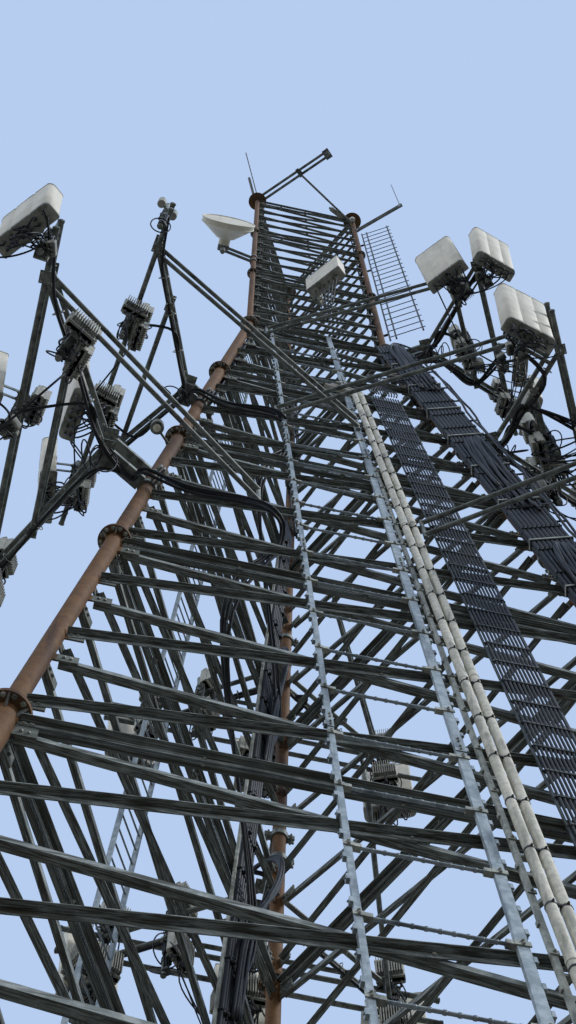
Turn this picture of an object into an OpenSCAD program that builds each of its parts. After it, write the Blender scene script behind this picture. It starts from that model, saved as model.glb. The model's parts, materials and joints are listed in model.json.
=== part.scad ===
// Three-legged lattice tower for radio antennas, as a 1:2 scale model.
// The back leg stands on the origin, the front side faces -Y and +Z is up.

/* [Tower] */
// Height of one bolted tower section
section_h = 3048; // [2500:24:3700]
// Number of tapered sections above the ground
taper_sections = 7; // [6:1:8]
// Number of straight sections above the tapered ones
straight_sections = 3; // [2:1:4]
// Distance between leg centres at the ground
base_w = 4350; // [3600:10:5300]
// Distance between leg centres in the straight part
top_w = 1250; // [1100:10:1500]

/* [Legs] */
// Leg tube diameter in the lower tapered sections
lower_leg_d = 110; // [90:1:132]
// Leg tube diameter in the middle tapered sections
middle_leg_d = 84; // [70:1:101]
// Leg tube diameter in the straight sections
upper_leg_d = 57; // [48:1:70]
// How many tapered sections use the lower tube
lower_sections = 3; // [1:1:5]
// Diameter of the bolted flanges on the lower tube
lower_flange_d = 200; // [180:1:240]
// Diameter of the bolted flanges on the middle tube
middle_flange_d = 170; // [150:1:204]
// Diameter of the bolted flanges on the upper tube
upper_flange_d = 116; // [100:1:140]
// Thickness of one flange
flange_t = 14; // [10:1:18]
// Height of the stiffening ribs beside a flange
rib_h = 62; // [40:1:75]
// Thickness of the stiffening ribs
rib_t = 8; // [6:1:10]

/* [Base plates] */
// Diameter of a base plate
plate_d = 430; // [400:1:520]
// Thickness of a base plate
plate_t = 30; // [25:1:36]
// Diameter of the circle of anchor bolt holes
anchor_pcd = 340; // [300:1:370]
// Diameter of an anchor bolt hole
anchor_hole_d = 26; // [20:1:32]
// Anchor bolt holes in a base plate
anchor_count = 8; // [6:1:10]

/* [Bracing] */
// Bays of cross bracing in a tapered section
taper_bays = 3; // [3:1:4]
// Bays of cross bracing in a straight section
straight_bays = 5; // [4:1:6]
// Leg width of the bracing angles in the tapered part
taper_angle_w = 38; // [32:1:46]
// Leg width of the bracing angles in the straight part
straight_angle_w = 25; // [20:1:30]
// Thickness of the bracing angles
angle_t = 4; // [3:0.5:6]
// Thickness of the gusset plates
gusset_t = 8; // [6:0.5:10]
// Length of brace that lies on a gusset plate in the tapered part
gusset_lap = 62; // [52:1:76]
// Length of brace that lies on a gusset plate in the straight part
straight_gusset_lap = 44; // [36:1:54]
// Distance along the leg from a panel point to a brace end in the tapered part
taper_offset = 150; // [130:1:170]
// Distance along the leg from a panel point to a brace end in the straight part
straight_offset = 60; // [50:1:70]
// Gap between the leg tube and the end of a brace
brace_end_gap = 10; // [8:1:14]
// Distance of the double horizontals below a flange
horizontal_drop = 85; // [75:1:95]

/* [Front ladder and conduits] */
// Distance between the rails of the front ladder
front_ladder_w = 528; // [440:1:560]
// Distance of the front ladder's foot from the middle of the side
front_ladder_u = 129; // [110:1:140]
// Angle that the front ladder leans to the left as it rises
front_ladder_lean = 0.83; // [0.7:0.01:1]
// Width of the front ladder's left rail
left_rail_w = 24; // [20:1:29]
// Width of the front ladder's right rail
right_rail_w = 42; // [35:1:50]
// Depth of a front ladder rail
front_rail_t = 18; // [15:1:22]
// Diameter of a front ladder rung
front_rung_d = 14; // [10:1:14]
// Spacing of the front ladder rungs
front_rung_pitch = 606; // [505:1:727]
// Diameter of a conduit
conduit_d = 42; // [35:1:48]
// Distance between the two conduits
conduit_pitch = 52; // [50:1:62]
// Distance of the inner conduit's foot from the middle of the side
conduit_u = 590; // [580:1:620]
// Angle that the conduits lean to the left as they rise
conduit_lean = 1.3; // [1.2:0.01:1.4]
// How far below the top of the tapered part the conduits bend
conduit_drop = 3350; // [3200:10:4000]
// Depth of the strut channel behind the conduits
strut_t = 20; // [15:1:24]

/* [Cable runs] */
// Diameter of a trunk cable
coax_d = 25; // [20:1:26]
// Distance between trunk cables
coax_pitch = 27; // [27:1:32]
// Trunk cables side by side on the right leg
coax_columns = 9; // [6:1:9]
// Diameter of a small cable on the cable ladder
small_cable_d = 12; // [8:1:14]
// Distance of the cable ladder's foot from the middle of the side
cable_ladder_u = 974; // [960:1:990]
// Angle that the cable ladder leans to the left as it rises
cable_ladder_lean = 1.65; // [1.6:0.01:1.75]
// Distance between the rails of the cable ladder
cable_ladder_w = 224; // [210:1:236]
// How far below the top of the tapered part the cable ladder ends
cable_ladder_drop = 3050; // [2750:10:5000]
// Distance of the inner cable run from the middle of the left side
inner_coax_u = 600; // [500:1:640]
// How far below the top of the tapered part the inner cable run ends
inner_coax_drop = 2750; // [2400:10:5000]
// Distance of the climbing ladder from the middle of the left side
climb_u = 400; // [380:1:430]
// Distance between the rails of the climbing ladder
climb_w = 200; // [180:1:240]
// Spacing of the climbing ladder rungs
climb_pitch = 152; // [140:1:180]

/* [Antenna mounts] */
// Section that carries the lower antenna mounts, the lowest being 0
lower_mount_section = 4; // [4:1:4]
// Distance from the leg centre to the hinge plate of a long mount
long_standoff = 320; // [270:1:380]
// Distance from the leg centre to the hinge plate of a short mount
short_standoff = 205; // [200:1:250]
// Distance from the leg centre to the hinge plate of a close mount
close_standoff = 130; // [120:1:156]
// Length of an arm of a mount
arm_l = 1040; // [870:1:1250]
// Length of an arm of a mount on the right leg
right_arm_l = 850; // [708:1:1020]
// Diameter of the arm pipes
arm_d = 36; // [30:1:42]
// Height between the upper and lower pipe of an arm
arm_gap = 300; // [260:1:340]
// Angle of each arm to the middle line of its mount
arm_angle = 60; // [55:1:65]
// The same for a mount on the right leg
right_arm_angle = 46; // [42:1:50]
// How far the pipe across the arm ends runs on past them
face_overhang = 280; // [220:1:340]
// Length of a vertical antenna pipe
mast_l = 1150; // [1000:1:1380]
// Width of a panel antenna
panel_w = 370; // [310:1:440]
// Depth of a panel antenna
panel_t = 110; // [90:1:130]
// Height of a panel antenna
panel_h = 1000; // [830:1:1120]
// Height of the short panel antenna on the left leg
short_panel_h = 600; // [500:1:720]
// Gap between an antenna pipe and the lower end of its panel antenna
panel_gap = 60; // [50:1:75]
// Forward tilt of a panel antenna
panel_tilt = 5; // [3:1:6]
// Width of a radio unit
radio_w = 180; // [150:1:215]
// Depth of a radio unit
radio_t = 100; // [84:1:120]
// Height of a radio unit
radio_h = 270; // [225:1:320]

/* [Top equipment] */
// Diameter of the caps on the leg tops
cap_d = 230; // [200:1:270]
// Diameter of the dish antenna
dish_d = 560; // [470:1:670]
// Length of the twin pipe boom on the left leg
boom_l = 1120; // [930:1:1340]
// Length of the twin pipe arm on the right leg
side_arm_l = 650; // [540:1:780]
// Width of the ladder that stands off the right leg
standoff_ladder_w = 320; // [260:1:380]

/* [Clearances] */
// Gap between pieces that are clamped or laid on each other
seat_gap = 0.3; // [0.2:0.1:0.5]

/* [Hidden] */
$fn = 32;

// Legs are numbered left, right, back and sides are numbered front, right, left
LEFT = 0;
RIGHT = 1;
BACK = 2;
LEG_BEARING = [210, 330, 90];
SIDE_BEARING = [270, 30, 150];
// The two sides that meet at each leg, and the end of the side that the leg is on
LEG_SIDES = [[[0, -1], [2, 1]], [[0, 1], [1, -1]], [[1, 1], [2, -1]]];

base_r = base_w / sqrt(3);
top_r = top_w / sqrt(3);
base_side_r = base_r / 2;
top_side_r = top_r / 2;
taper_h = taper_sections * section_h;
straight_h = straight_sections * section_h;
leg_lean = atan((base_r - top_r) / taper_h);
side_lean = atan((base_side_r - top_side_r) / taper_h);
leg_slope_l = taper_h / cos(leg_lean);
side_slope_l = taper_h / cos(side_lean);
taper_bay_v = side_slope_l / (taper_sections * taper_bays);
straight_bay_v = section_h / straight_bays;
taper_face_n = gusset_t / 2 + taper_angle_w + seat_gap;
straight_face_n = gusset_t / 2 + straight_angle_w + seat_gap;
plate_rim = 6;
conduit_h = side_slope_l - conduit_drop;
cable_ladder_h = side_slope_l - cable_ladder_drop;
inner_coax_h = side_slope_l - inner_coax_drop;

function direction(bearing) = [cos(bearing), sin(bearing), 0];
function side_half_w(v) = (base_w - (base_w - top_w) * v / side_slope_l) / 2;
function leg_r_at(z) = z < taper_h ? base_r - (base_r - top_r) * z / taper_h : top_r;
function leg_d_at(z) =
    z < lower_sections * section_h ? lower_leg_d : z < taper_h ? middle_leg_d : upper_leg_d;
function leg_point(leg, z) =
    leg_r_at(z) * direction(LEG_BEARING[leg]) + [0, -base_r, plate_t + z];
// A point of a tapered side: u across, z up, n out of the side
function side_point(side, u, z, n) =
    let (b = SIDE_BEARING[side])
    [0, -base_r, plate_t] + base_side_r * direction(b) + u * direction(b + 90)
    + z / cos(side_lean) * (cos(side_lean) * [0, 0, 1] - sin(side_lean) * direction(b))
    + n * (sin(side_lean) * [0, 0, 1] + cos(side_lean) * direction(b));

// Free length at a brace's end, clear of the leg tube
function outer_trim(leg_d) = leg_d / 2 + brace_end_gap;
// The same inside the tower, where it is also clear of the next side's braces
function brace_trim(leg_d, w) = max(outer_trim(leg_d), sqrt(3) * (gusset_t / 2 + w + seat_gap));

// Frames of reference

module tower_axis() translate([0, -base_r, plate_t]) children();

module tapered_leg_frame(leg)
    tower_axis() rotate([0, 0, LEG_BEARING[leg]]) translate([base_r, 0, 0])
    rotate([0, -leg_lean, 0]) children();

module straight_leg_frame(leg)
    tower_axis() rotate([0, 0, LEG_BEARING[leg]]) translate([top_r, 0, taper_h]) children();

module tapered_side(side)
    tower_axis() rotate([0, 0, SIDE_BEARING[side] + 90]) translate([0, -base_side_r, 0])
    rotate([90 - side_lean, 0, 0]) children();

module straight_side(side)
    tower_axis() rotate([0, 0, SIDE_BEARING[side] + 90]) translate([0, -top_side_r, taper_h])
    rotate([90, 0, 0]) children();

// Shapes used by several pieces

module rod(p, q, d) {
    v = q - p;
    translate(p) rotate([0, acos(v.z / norm(v)), atan2(v.y, v.x)]) cylinder(h = norm(v), d = d);
}

rib_inset = 4;

// A pair of bolted flanges with the ribs that stiffen them
module flange_joint(tube_d, flange_d) {
    translate([0, 0, -flange_t]) cylinder(h = 2 * flange_t, d = flange_d);
    outer = flange_d / 2 - rib_inset;
    inner = tube_d / 2 + 1;
    tip = flange_t + rib_h;
    for (i = [0:2]) rotate([90, 0, i * 60]) translate([0, 0, -rib_t / 2])
        linear_extrude(rib_t) polygon([
            [outer, -flange_t + 1], [outer, flange_t - 1], [inner, tip], [-inner, tip],
            [-outer, flange_t - 1], [-outer, -flange_t + 1], [-inner, -tip], [inner, -tip]
        ]);
}

// A gusset plate in the plane of a side, from the leg centre towards the middle
module gusset(end, half_w, low, high, reach)
    translate([end > 0 ? half_w - reach : -half_w, low, -gusset_t / 2])
    cube([reach, high - low, gusset_t]);

// An angle bar between two points of a side, outside (1) or inside (-1) the gussets
module angle_bar(p, q, w, trim, out) {
    n = gusset_t / 2;
    translate([p.x, p.y, 0]) rotate([0, 0, atan2(q.y - p.y, q.x - p.x)])
        translate([trim, 0, 0]) rotate([90, 0, 90]) linear_extrude(norm(q - p) - 2 * trim)
        polygon([
            [w / 2, out * n], [-w / 2, out * n], [-w / 2, out * (n + angle_t)],
            [w / 2 - angle_t, out * (n + angle_t)], [w / 2 - angle_t, out * (n + w)],
            [w / 2, out * (n + w)]
        ]);
}

// The filler plate that joins two crossing angles
module filler(u, v, w) {
    bite = angle_t / 4;
    translate([u - w / 2, v - w / 2, -gusset_t / 2 - bite]) cube([w, w, gusset_t + 2 * bite]);
}

module cross_brace(low_half_w, low_v, high_half_w, high_v, w, leg_d) {
    angle_bar([-low_half_w, low_v], [high_half_w, high_v], w, outer_trim(leg_d), 1);
    angle_bar([low_half_w, low_v], [-high_half_w, high_v], w, brace_trim(leg_d, w), -1);
    share = low_half_w / (low_half_w + high_half_w);
    filler(0, low_v + (high_v - low_v) * share, w);
}

// Width of the fillers between the two angles of a horizontal, as a share of the angle
FILLER_SHARE = 0.8;

module double_horizontal(half_w, v, w, leg_d) {
    angle_bar([-half_w, v], [half_w, v], w, outer_trim(leg_d), 1);
    angle_bar([-half_w, v], [half_w, v], w, brace_trim(leg_d, w), -1);
    for (s = [-0.5, 0, 0.5]) filler(s * half_w, v, w * FILLER_SHARE);
}

// Legs

taper_points = taper_sections * taper_bays;
straight_points = straight_sections * straight_bays;

// The plates at one panel point, below and above it, each as tall as the brace ends on it
module point_gussets(end, half_w, v, w, offset, reach, bay_v, below, above, under_flange) {
    rise = reach * (bay_v - 2 * offset) / (2 * half_w);
    near = offset - w / 2 - plate_rim;
    tall = offset + rise + w / 2 + plate_rim;
    if (below) gusset(end, half_w, v - tall, v - (under_flange > 0 ? under_flange : near), reach);
    if (above) gusset(end, half_w, v + near, v + tall, reach);
}

module tapered_gussets(leg)
    for (s = LEG_SIDES[leg], i = [0:taper_points]) {
        v = i * taper_bay_v;
        reach = brace_trim(leg_d_at(v), taper_angle_w) + gusset_lap;
        tapered_side(s[0]) point_gussets(s[1], side_half_w(v), v, taper_angle_w, taper_offset, reach,
            taper_bay_v, i > 0, i < taper_points,
            i % taper_bays == 0 ? horizontal_drop - taper_angle_w / 2 - plate_rim : 0);
    }

foot_flange_t = 1.5 * flange_t;

module tapered_leg(leg) color([0.59, 0.46, 0.33]) union() {
    lower_l = leg_slope_l * lower_sections / taper_sections;
    tapered_leg_frame(leg) {
        translate([0, 0, flange_t / 2]) cylinder(h = lower_l - flange_t / 2, d = lower_leg_d);
        translate([0, 0, lower_l]) cylinder(h = leg_slope_l - lower_l - flange_t / 2, d = middle_leg_d);
        for (i = [1:taper_sections - 1]) translate([0, 0, leg_slope_l * i / taper_sections])
            if (i <= lower_sections) flange_joint(lower_leg_d, lower_flange_d);
            else flange_joint(middle_leg_d, middle_flange_d);
    }
    translate(leg_point(leg, 0)) cylinder(h = foot_flange_t, d = lower_flange_d);
    translate(leg_point(leg, taper_h) - [0, 0, foot_flange_t])
        cylinder(h = foot_flange_t, d = middle_flange_d);
    tapered_gussets(leg);
}

module straight_leg(leg) color([0.55, 0.43, 0.31]) union() {
    straight_leg_frame(leg) {
        cylinder(h = straight_h, d = upper_leg_d);
        cylinder(h = flange_t, d = middle_flange_d);
        translate([0, 0, straight_h]) cylinder(h = flange_t, d = cap_d);
        for (i = [1:straight_sections - 1]) translate([0, 0, i * section_h])
            flange_joint(upper_leg_d, upper_flange_d);
    }
    reach = brace_trim(upper_leg_d, straight_angle_w) + straight_gusset_lap;
    for (s = LEG_SIDES[leg], i = [0:straight_points]) straight_side(s[0]) {
        at_flange = i % straight_bays == 0;
        point_gussets(s[1], top_w / 2, i * straight_bay_v, straight_angle_w,
            straight_offset, reach, straight_bay_v, i > 0 && !at_flange, i < straight_points, 0);
        if (at_flange && i > 0) point_gussets(s[1], top_w / 2, i * straight_bay_v, straight_angle_w,
            straight_offset + horizontal_drop / 2, reach, straight_bay_v, true, false,
            straight_offset - straight_angle_w / 2 - plate_rim);
    }
}

module left_leg_tapered() tapered_leg(LEFT);
module right_leg_tapered() tapered_leg(RIGHT);
module back_leg_tapered() tapered_leg(BACK);
module left_leg_straight() straight_leg(LEFT);
module right_leg_straight() straight_leg(RIGHT);
module back_leg_straight() straight_leg(BACK);

module base_plates() color([0.45, 0.46, 0.45]) for (leg = [LEFT, RIGHT, BACK])
    translate(leg_point(leg, 0) - [0, 0, plate_t]) difference() {
        cylinder(h = plate_t, d = plate_d);
        for (i = [0:anchor_count - 1]) rotate([0, 0, (i + 0.5) * 360 / anchor_count])
            translate([anchor_pcd / 2, 0, -1]) cylinder(h = plate_t + 2, d = anchor_hole_d);
    }

// Bracing

module tapered_bracing(side) color([0.36, 0.4, 0.39]) tapered_side(side) {
    for (i = [0:taper_points - 1]) {
        low = i * taper_bay_v + taper_offset;
        high = (i + 1) * taper_bay_v - taper_offset;
        cross_brace(side_half_w(low), low, side_half_w(high), high, taper_angle_w, leg_d_at(low));
    }
    for (i = [1:taper_sections]) {
        v = i * section_h / cos(side_lean) - horizontal_drop;
        double_horizontal(side_half_w(v), v, taper_angle_w, leg_d_at(v));
    }
}

module straight_bracing(side) color([0.36, 0.4, 0.39]) straight_side(side) {
    for (i = [0:straight_points - 1]) {
        low = i * straight_bay_v + straight_offset;
        top_of_section = (i + 1) % straight_bays == 0;
        drop = straight_offset + (top_of_section ? horizontal_drop / 2 : 0);
        cross_brace(top_w / 2, low, top_w / 2, (i + 1) * straight_bay_v - drop,
            straight_angle_w, upper_leg_d);
    }
    for (i = [1:straight_sections])
        double_horizontal(top_w / 2, i * section_h - straight_offset, straight_angle_w, upper_leg_d);
}

module front_bracing_tapered() tapered_bracing(0);
module right_bracing_tapered() tapered_bracing(1);
module left_bracing_tapered() tapered_bracing(2);
module front_bracing_straight() straight_bracing(0);
module right_bracing_straight() straight_bracing(1);
module left_bracing_straight() straight_bracing(2);

// Ladders and cable runs on the sides

// A ladder in the plane of a side, its near face at depth n and its middle at u = 0, with the
// widths of its left and right rail in rails
module side_ladder(n, low, high, w, rails, rail_t, rung_d, pitch) {
    for (s = [0, 1]) translate([(s - 0.5) * w - rails[s] / 2, low, n])
        cube([rails[s], high - low, rail_t]);
    for (v = [low + pitch / 2:pitch:high - pitch / 4])
        translate([-w / 2, v, n + rail_t / 2]) rotate([0, 90, 0]) cylinder(h = w, d = rung_d);
}

// A run up the front side whose foot is at u, leaning to the left
module front_run(u, lean) tapered_side(0) translate([u, 0, 0]) rotate([0, 0, lean]) children();

ladder_foot = 150;
ladder_head_gap = 200;

module front_ladder() color([0.6, 0.65, 0.64]) front_run(front_ladder_u, front_ladder_lean)
    side_ladder(taper_face_n, ladder_foot, side_slope_l - ladder_head_gap, front_ladder_w,
        [left_rail_w, right_rail_w], front_rail_t, front_rung_d, front_rung_pitch);

conduit_n = taper_face_n + strut_t + seat_gap + conduit_d / 2;
conduit_foot = 20;
conduit_bend_r = 110;
conduit_bend = 70;
conduit_lead_l = 160;
// Height between the leads of the two conduits, past their spacing
conduit_lead_gap = 10;
coupling_foot = 1600;
coupling_pitch = 3000;
coupling_h = 30;
coupling_wall = 2;

module coupling() translate([0, -coupling_h / 2, 0]) rotate([-90, 0, 0])
    cylinder(h = coupling_h, d = conduit_d + 2 * coupling_wall);

module conduit() {
    translate([0, -conduit_foot, conduit_n]) rotate([-90, 0, 0])
        cylinder(h = conduit_h + conduit_foot, d = conduit_d);
    for (v = [coupling_foot:coupling_pitch:conduit_h - coupling_foot / 2])
        translate([0, v, conduit_n]) coupling();
    translate([-conduit_bend_r, conduit_h, conduit_n]) {
        rotate_extrude(angle = conduit_bend) translate([conduit_bend_r, 0]) circle(d = conduit_d);
        for (a = [0, conduit_bend]) rotate([0, 0, a]) translate([conduit_bend_r, 0, 0]) coupling();
        rotate([0, 0, conduit_bend]) translate([conduit_bend_r, 0, 0])
            rotate([-90, 0, 0]) cylinder(h = conduit_lead_l, d = conduit_d);
    }
}

// The outer conduit bends higher up, so that its lead is above the inner one
module conduits() color([0.72, 0.73, 0.69]) front_run(conduit_u, conduit_lean)
    for (i = [0:1]) translate([i * conduit_pitch, i * (conduit_pitch + conduit_lead_gap), 0]) conduit();

strut_u = -48;
strut_foot = 200;
// How far below the conduits' bend the rail ends
strut_head_gap = 2700;
strut_start = 537;
strut_pitch = 1000;

module conduit_supports() color([0.5, 0.53, 0.52]) front_run(conduit_u, conduit_lean) {
    strut_head = conduit_h - strut_head_gap;
    translate([strut_u, strut_foot, taper_face_n]) cube([strut_t, strut_head - strut_foot, strut_t]);
    for (v = [strut_start:strut_pitch:strut_head]) translate([strut_u, v, taper_face_n])
        cube([conduit_pitch + conduit_d - strut_u, strut_t, strut_t]);
}

// Depth of a side ladder's rungs, where the cables lie
function rung_top(rail_t, rung_d) = taper_face_n + rail_t / 2 + rung_d / 2 + seat_gap;

run_foot = 300;
cable_rail_t = 10;
cable_rung_d = 7;
cable_rung_pitch = 305;
ladder_cable_count = 11;
// Free width between the outer cables and the rails
ladder_cable_gap = 2;

module cable_ladder() color([0.3, 0.33, 0.33]) front_run(cable_ladder_u, cable_ladder_lean)
    side_ladder(taper_face_n, run_foot, cable_ladder_h, cable_ladder_w,
        [cable_rail_t, cable_rail_t], cable_rail_t, cable_rung_d, cable_rung_pitch);

module ladder_cables() color([0.1, 0.1, 0.11]) front_run(cable_ladder_u, cable_ladder_lean) {
    free_w = cable_ladder_w - cable_rail_t - small_cable_d - 2 * ladder_cable_gap;
    for (i = [0:ladder_cable_count - 1]) translate([
            (i / (ladder_cable_count - 1) - 0.5) * free_w, run_foot / 3,
            rung_top(cable_rail_t, cable_rung_d) + small_cable_d / 2
        ]) rotate([-90, 0, 0]) cylinder(h = cable_ladder_h - run_foot / 6, d = small_cable_d);
}

inner_ladder_w = 170;
inner_rail_t = 16;
inner_rung_d = 10;
inner_rung_pitch = 508;

module inner_coax_ladder() color([0.5, 0.53, 0.52]) tapered_side(2) mirror([0, 0, 1])
    translate([-inner_coax_u, 0, 0]) side_ladder(taper_face_n, run_foot, inner_coax_h,
        inner_ladder_w, [inner_rail_t, inner_rail_t], inner_rail_t, inner_rung_d, inner_rung_pitch);

module inner_coax() color([0.1, 0.1, 0.11]) tapered_side(2)
    for (i = [-2.5:1:2.5]) translate([
            -inner_coax_u + i * coax_pitch, run_foot / 5,
            -rung_top(inner_rail_t, inner_rung_d) - coax_d / 2
        ]) rotate([-90, 0, 0]) cylinder(h = inner_coax_h, d = coax_d);

climb_rail_w = 10;
climb_rail_t = 24;
climb_rung_d = 9;

module climbing_ladder() color([0.6, 0.65, 0.64]) tapered_side(2) translate([climb_u, 0, 0])
    side_ladder(taper_face_n, run_foot, side_slope_l - ladder_head_gap, climb_w,
        [climb_rail_w, climb_rail_w], climb_rail_t, climb_rung_d, climb_pitch);

// Trunk cables on the right leg, turned to the front
coax_face = lower_flange_d / 2 + 5;
COAX_BEARING = -75;
coax_foot = 40;
// The front row ends below the back row
COAX_DROPS = [360, 1060];

module leg_coax() color([0.1, 0.1, 0.11]) tapered_leg_frame(RIGHT) rotate([0, 0, COAX_BEARING])
    for (row = [0:1], i = [0:coax_columns - 1]) translate([
            coax_face + coax_d / 2 + row * coax_pitch, (i - (coax_columns - 1) / 2) * coax_pitch,
            coax_foot
        ]) cylinder(h = leg_slope_l - COAX_DROPS[row] - coax_foot, d = coax_d);

hanger_h = 24;
hanger_t = 6;
hanger_stem_w = 60;
// Gap between the outer cables and the sides of a hanger
hanger_side_gap = 1;

// Frames round the trunk cables, on a stem from the leg
module leg_coax_hangers() color([0.4, 0.42, 0.41])
    tapered_leg_frame(RIGHT) rotate([0, 0, COAX_BEARING])
    for (i = [1:taper_points - 2]) translate([0, 0, (i + 0.5) * leg_slope_l / taper_points]) {
        leg_r = leg_d_at((i + 0.5) * taper_h / taper_points) / 2;
        half = coax_columns * coax_pitch / 2 + hanger_side_gap;
        back = coax_face - seat_gap;
        front = coax_face + coax_d + coax_pitch + seat_gap;
        translate([leg_r + seat_gap, -hanger_stem_w / 2, 0])
            cube([back - leg_r - seat_gap, hanger_stem_w, hanger_h]);
        for (x = [back - hanger_t, front]) translate([x, -half - hanger_t, 0])
            cube([hanger_t, 2 * (half + hanger_t), hanger_h]);
        for (s = [-1, 1]) translate([back - hanger_t, s * (half + hanger_t / 2) - hanger_t / 2, 0])
            cube([front - back + 2 * hanger_t, hanger_t, hanger_h]);
    }

// The ladder that stands off the right leg in the straight part, seen edge on from the leg
standoff_rail = 16;
standoff_foot = 500;
standoff_head = straight_h - 1400;
standoff_rung_d = 9;
standoff_rung_run = 30;
standoff_clip_w = 20;
standoff_clip_pitch = 2000;
standoff_gap = 12;
// Distances of its three rails from the first
STANDOFF_RAILS = [0, 60, standoff_ladder_w];

module standoff_ladder() color([0.3, 0.33, 0.33]) straight_leg_frame(RIGHT) {
    inner = upper_flange_d / 2 + standoff_gap;
    for (u = STANDOFF_RAILS) translate([inner + u, -standoff_rail / 2, standoff_foot])
        cube([standoff_rail, standoff_rail, standoff_head - standoff_foot]);
    for (z = [standoff_foot + cable_rung_pitch / 2:cable_rung_pitch:standoff_head])
        translate([inner + standoff_rail / 2, 0, z]) rotate([0, 90, 0])
            cylinder(h = standoff_ladder_w + standoff_rung_run, d = standoff_rung_d);
    for (z = [standoff_foot + cable_rung_pitch:standoff_clip_pitch:standoff_head])
        translate([upper_leg_d / 2 + seat_gap, -standoff_clip_w / 2, z])
            cube([inner - upper_leg_d / 2, standoff_clip_w, standoff_clip_w]);
}

// Antenna mounts

// The middle of the bay that a mount is clamped in, so that it is clear of the gussets
function bay_z(section, bay) = (section + (bay + 0.5) / taper_bays) * section_h;
mid_bay = floor(taper_bays / 2);
lower_mount_z = bay_z(lower_mount_section, mid_bay);
upper_mount_z = bay_z(lower_mount_section + 1, mid_bay);
top_mount_z = bay_z(lower_mount_section + 2, taper_bays - 1);

// Arms are a list: length, angle to the middle line, how far the pipe across their ends runs on
// at its - and its + end
WIDE_ARMS = [arm_l, arm_angle, face_overhang, face_overhang];
RIGHT_ARMS = [right_arm_l, right_arm_angle, face_overhang, face_overhang];
TOP_ARMS = [right_arm_l, right_arm_angle, arm_d / 2, face_overhang];
// Depth of the inner pipe across, as a share of the arms
INNER = 0.6;
// Distance of a tie pipe's post from the conduits' rails, and from the ladder's left rail
tie_foot_gap = 33;
upper_tie_gap = 52;
top_tie_gap = 43;
// How far below the arms' height the tie pipes of the right leg's upper mounts end
TIE_DROP = 90;
// Where the middle of the front ladder's left (-1) or right (1) rail is at a height
function ladder_rail_u(end, z) =
    front_ladder_u + end * front_ladder_w / 2 - z / cos(side_lean) * tan(front_ladder_lean);
// Where the right end of the conduits' rails is at a height
function conduit_rail_u(z) =
    conduit_u + conduit_pitch + conduit_d - z / cos(side_lean) * tan(conduit_lean);

// Each mount is a list: leg, height, bearing of its middle line, length of its stand-off, arms,
// tie pipes and pipe places
// Tie pipes are [distance of their foot from the middle of the side, drop, 1 when they start at
// the first place, which then stands off the arm on stub pipes, distance from the bracing]
// A pipe place is [depth, across, bearing it faces, panel, radios], where depth 1 is at the arm
// ends, across -1 and 1 are the arm ends, and the panel is 0 for none, 1 for tall, 2 for short
LEFT_LOWER = [LEFT, lower_mount_z, 181, long_standoff, WIDE_ARMS, [-560, 0, 0, 0], [
    [1, 1.22, 221, 2, 0], [INNER, 0.62, 200, 0, 3], [1, 0.1, 190, 1, 1], [1, -1, 160, 1, 3]
]];
LEFT_UPPER = [LEFT, upper_mount_z, 188, close_standoff, WIDE_ARMS,
    [ladder_rail_u(1, upper_mount_z), 0, 0, front_rail_t + seat_gap], [
    [1, 1.22, 221, 0, 0], [1, 0.35, 188, 0, 3], [1, -0.35, 188, 1, 3], [1, -1, 175, 1, 2]
]];
RIGHT_LOWER = [RIGHT, lower_mount_z, -26, long_standoff, RIGHT_ARMS,
    [conduit_rail_u(lower_mount_z) + tie_foot_gap, 0, 0, 0], [
    [1, -1, -30, 1, 2], [INNER, 0, -26, 0, 3], [1, 0, -20, 1, 0], [1, 1, 4, 1, 2]
]];
RIGHT_UPPER = [RIGHT, upper_mount_z, -26, short_standoff, RIGHT_ARMS,
    [ladder_rail_u(-1, upper_mount_z) - upper_tie_gap, TIE_DROP, 1, 0], [
    [0.44, -1.2, -75, 1, 0], [INNER, 0, -26, 0, 3], [1, -0.05, -20, 1, 0],
    [0.5, 0.55, -20, 0, 2], [1, 1, 4, 1, 2]
]];
RIGHT_TOP = [RIGHT, top_mount_z, -26, long_standoff, TOP_ARMS,
    [ladder_rail_u(-1, top_mount_z) - top_tie_gap, TIE_DROP, 1, 0], [
    [0.555, -0.925, 221, 1, 2], [1, -0.95, -72, 1, 0], [INNER, 0, -26, 0, 3],
    [1, 0.3, -10, 1, 0], [1, 1, 4, 1, 2]
]];
BACK_LOWER = [BACK, lower_mount_z, 90, long_standoff, WIDE_ARMS, [484, 0, 0, 0], [
    [1, 1, 110, 1, 3], [INNER, 0.6, 140, 0, 2], [1, 0, 90, 1, 3], [1, -1, 70, 1, 3]
]];
BACK_UPPER = [BACK, upper_mount_z, 90, short_standoff, WIDE_ARMS, [484, 0, 0, 0], [
    [1, 1, 110, 1, 2], [INNER, 0.6, 140, 0, 2], [1, 0, 90, 1, 3], [1, -1, 70, 1, 2]
]];

// The post on the bracing that holds the tie pipes
tie_foot_d = 26;
// Half the length of that post, and how far up its arm a tie pipe starts, as a share of the arm
tie_foot_half = 0.7 * arm_gap;
TIE_START = 0.95;
tie_d = arm_d - 6;
collar_t = 12;
collar_h = 50;
inner_pipe_d = arm_d - 4;
mast_d = arm_d - 2;
plate_w = 90;
plate_l = 160;
plate_thick = 10;
tube_w = 44;

function hinge(mount) = leg_point(mount[0], mount[1]) + mount[3] * direction(LEG_BEARING[mount[0]]);
function arm_depth(mount) = mount[4][0] * cos(mount[4][1]);
function arm_half(mount) = mount[4][0] * sin(mount[4][1]);
// Direction of the - (-1) or + (1) arm
function arm_line(mount, end) = direction(mount[2] + end * mount[4][1]);

module mount_frame(mount) translate(hinge(mount)) rotate([0, 0, mount[2]]) children();

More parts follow.
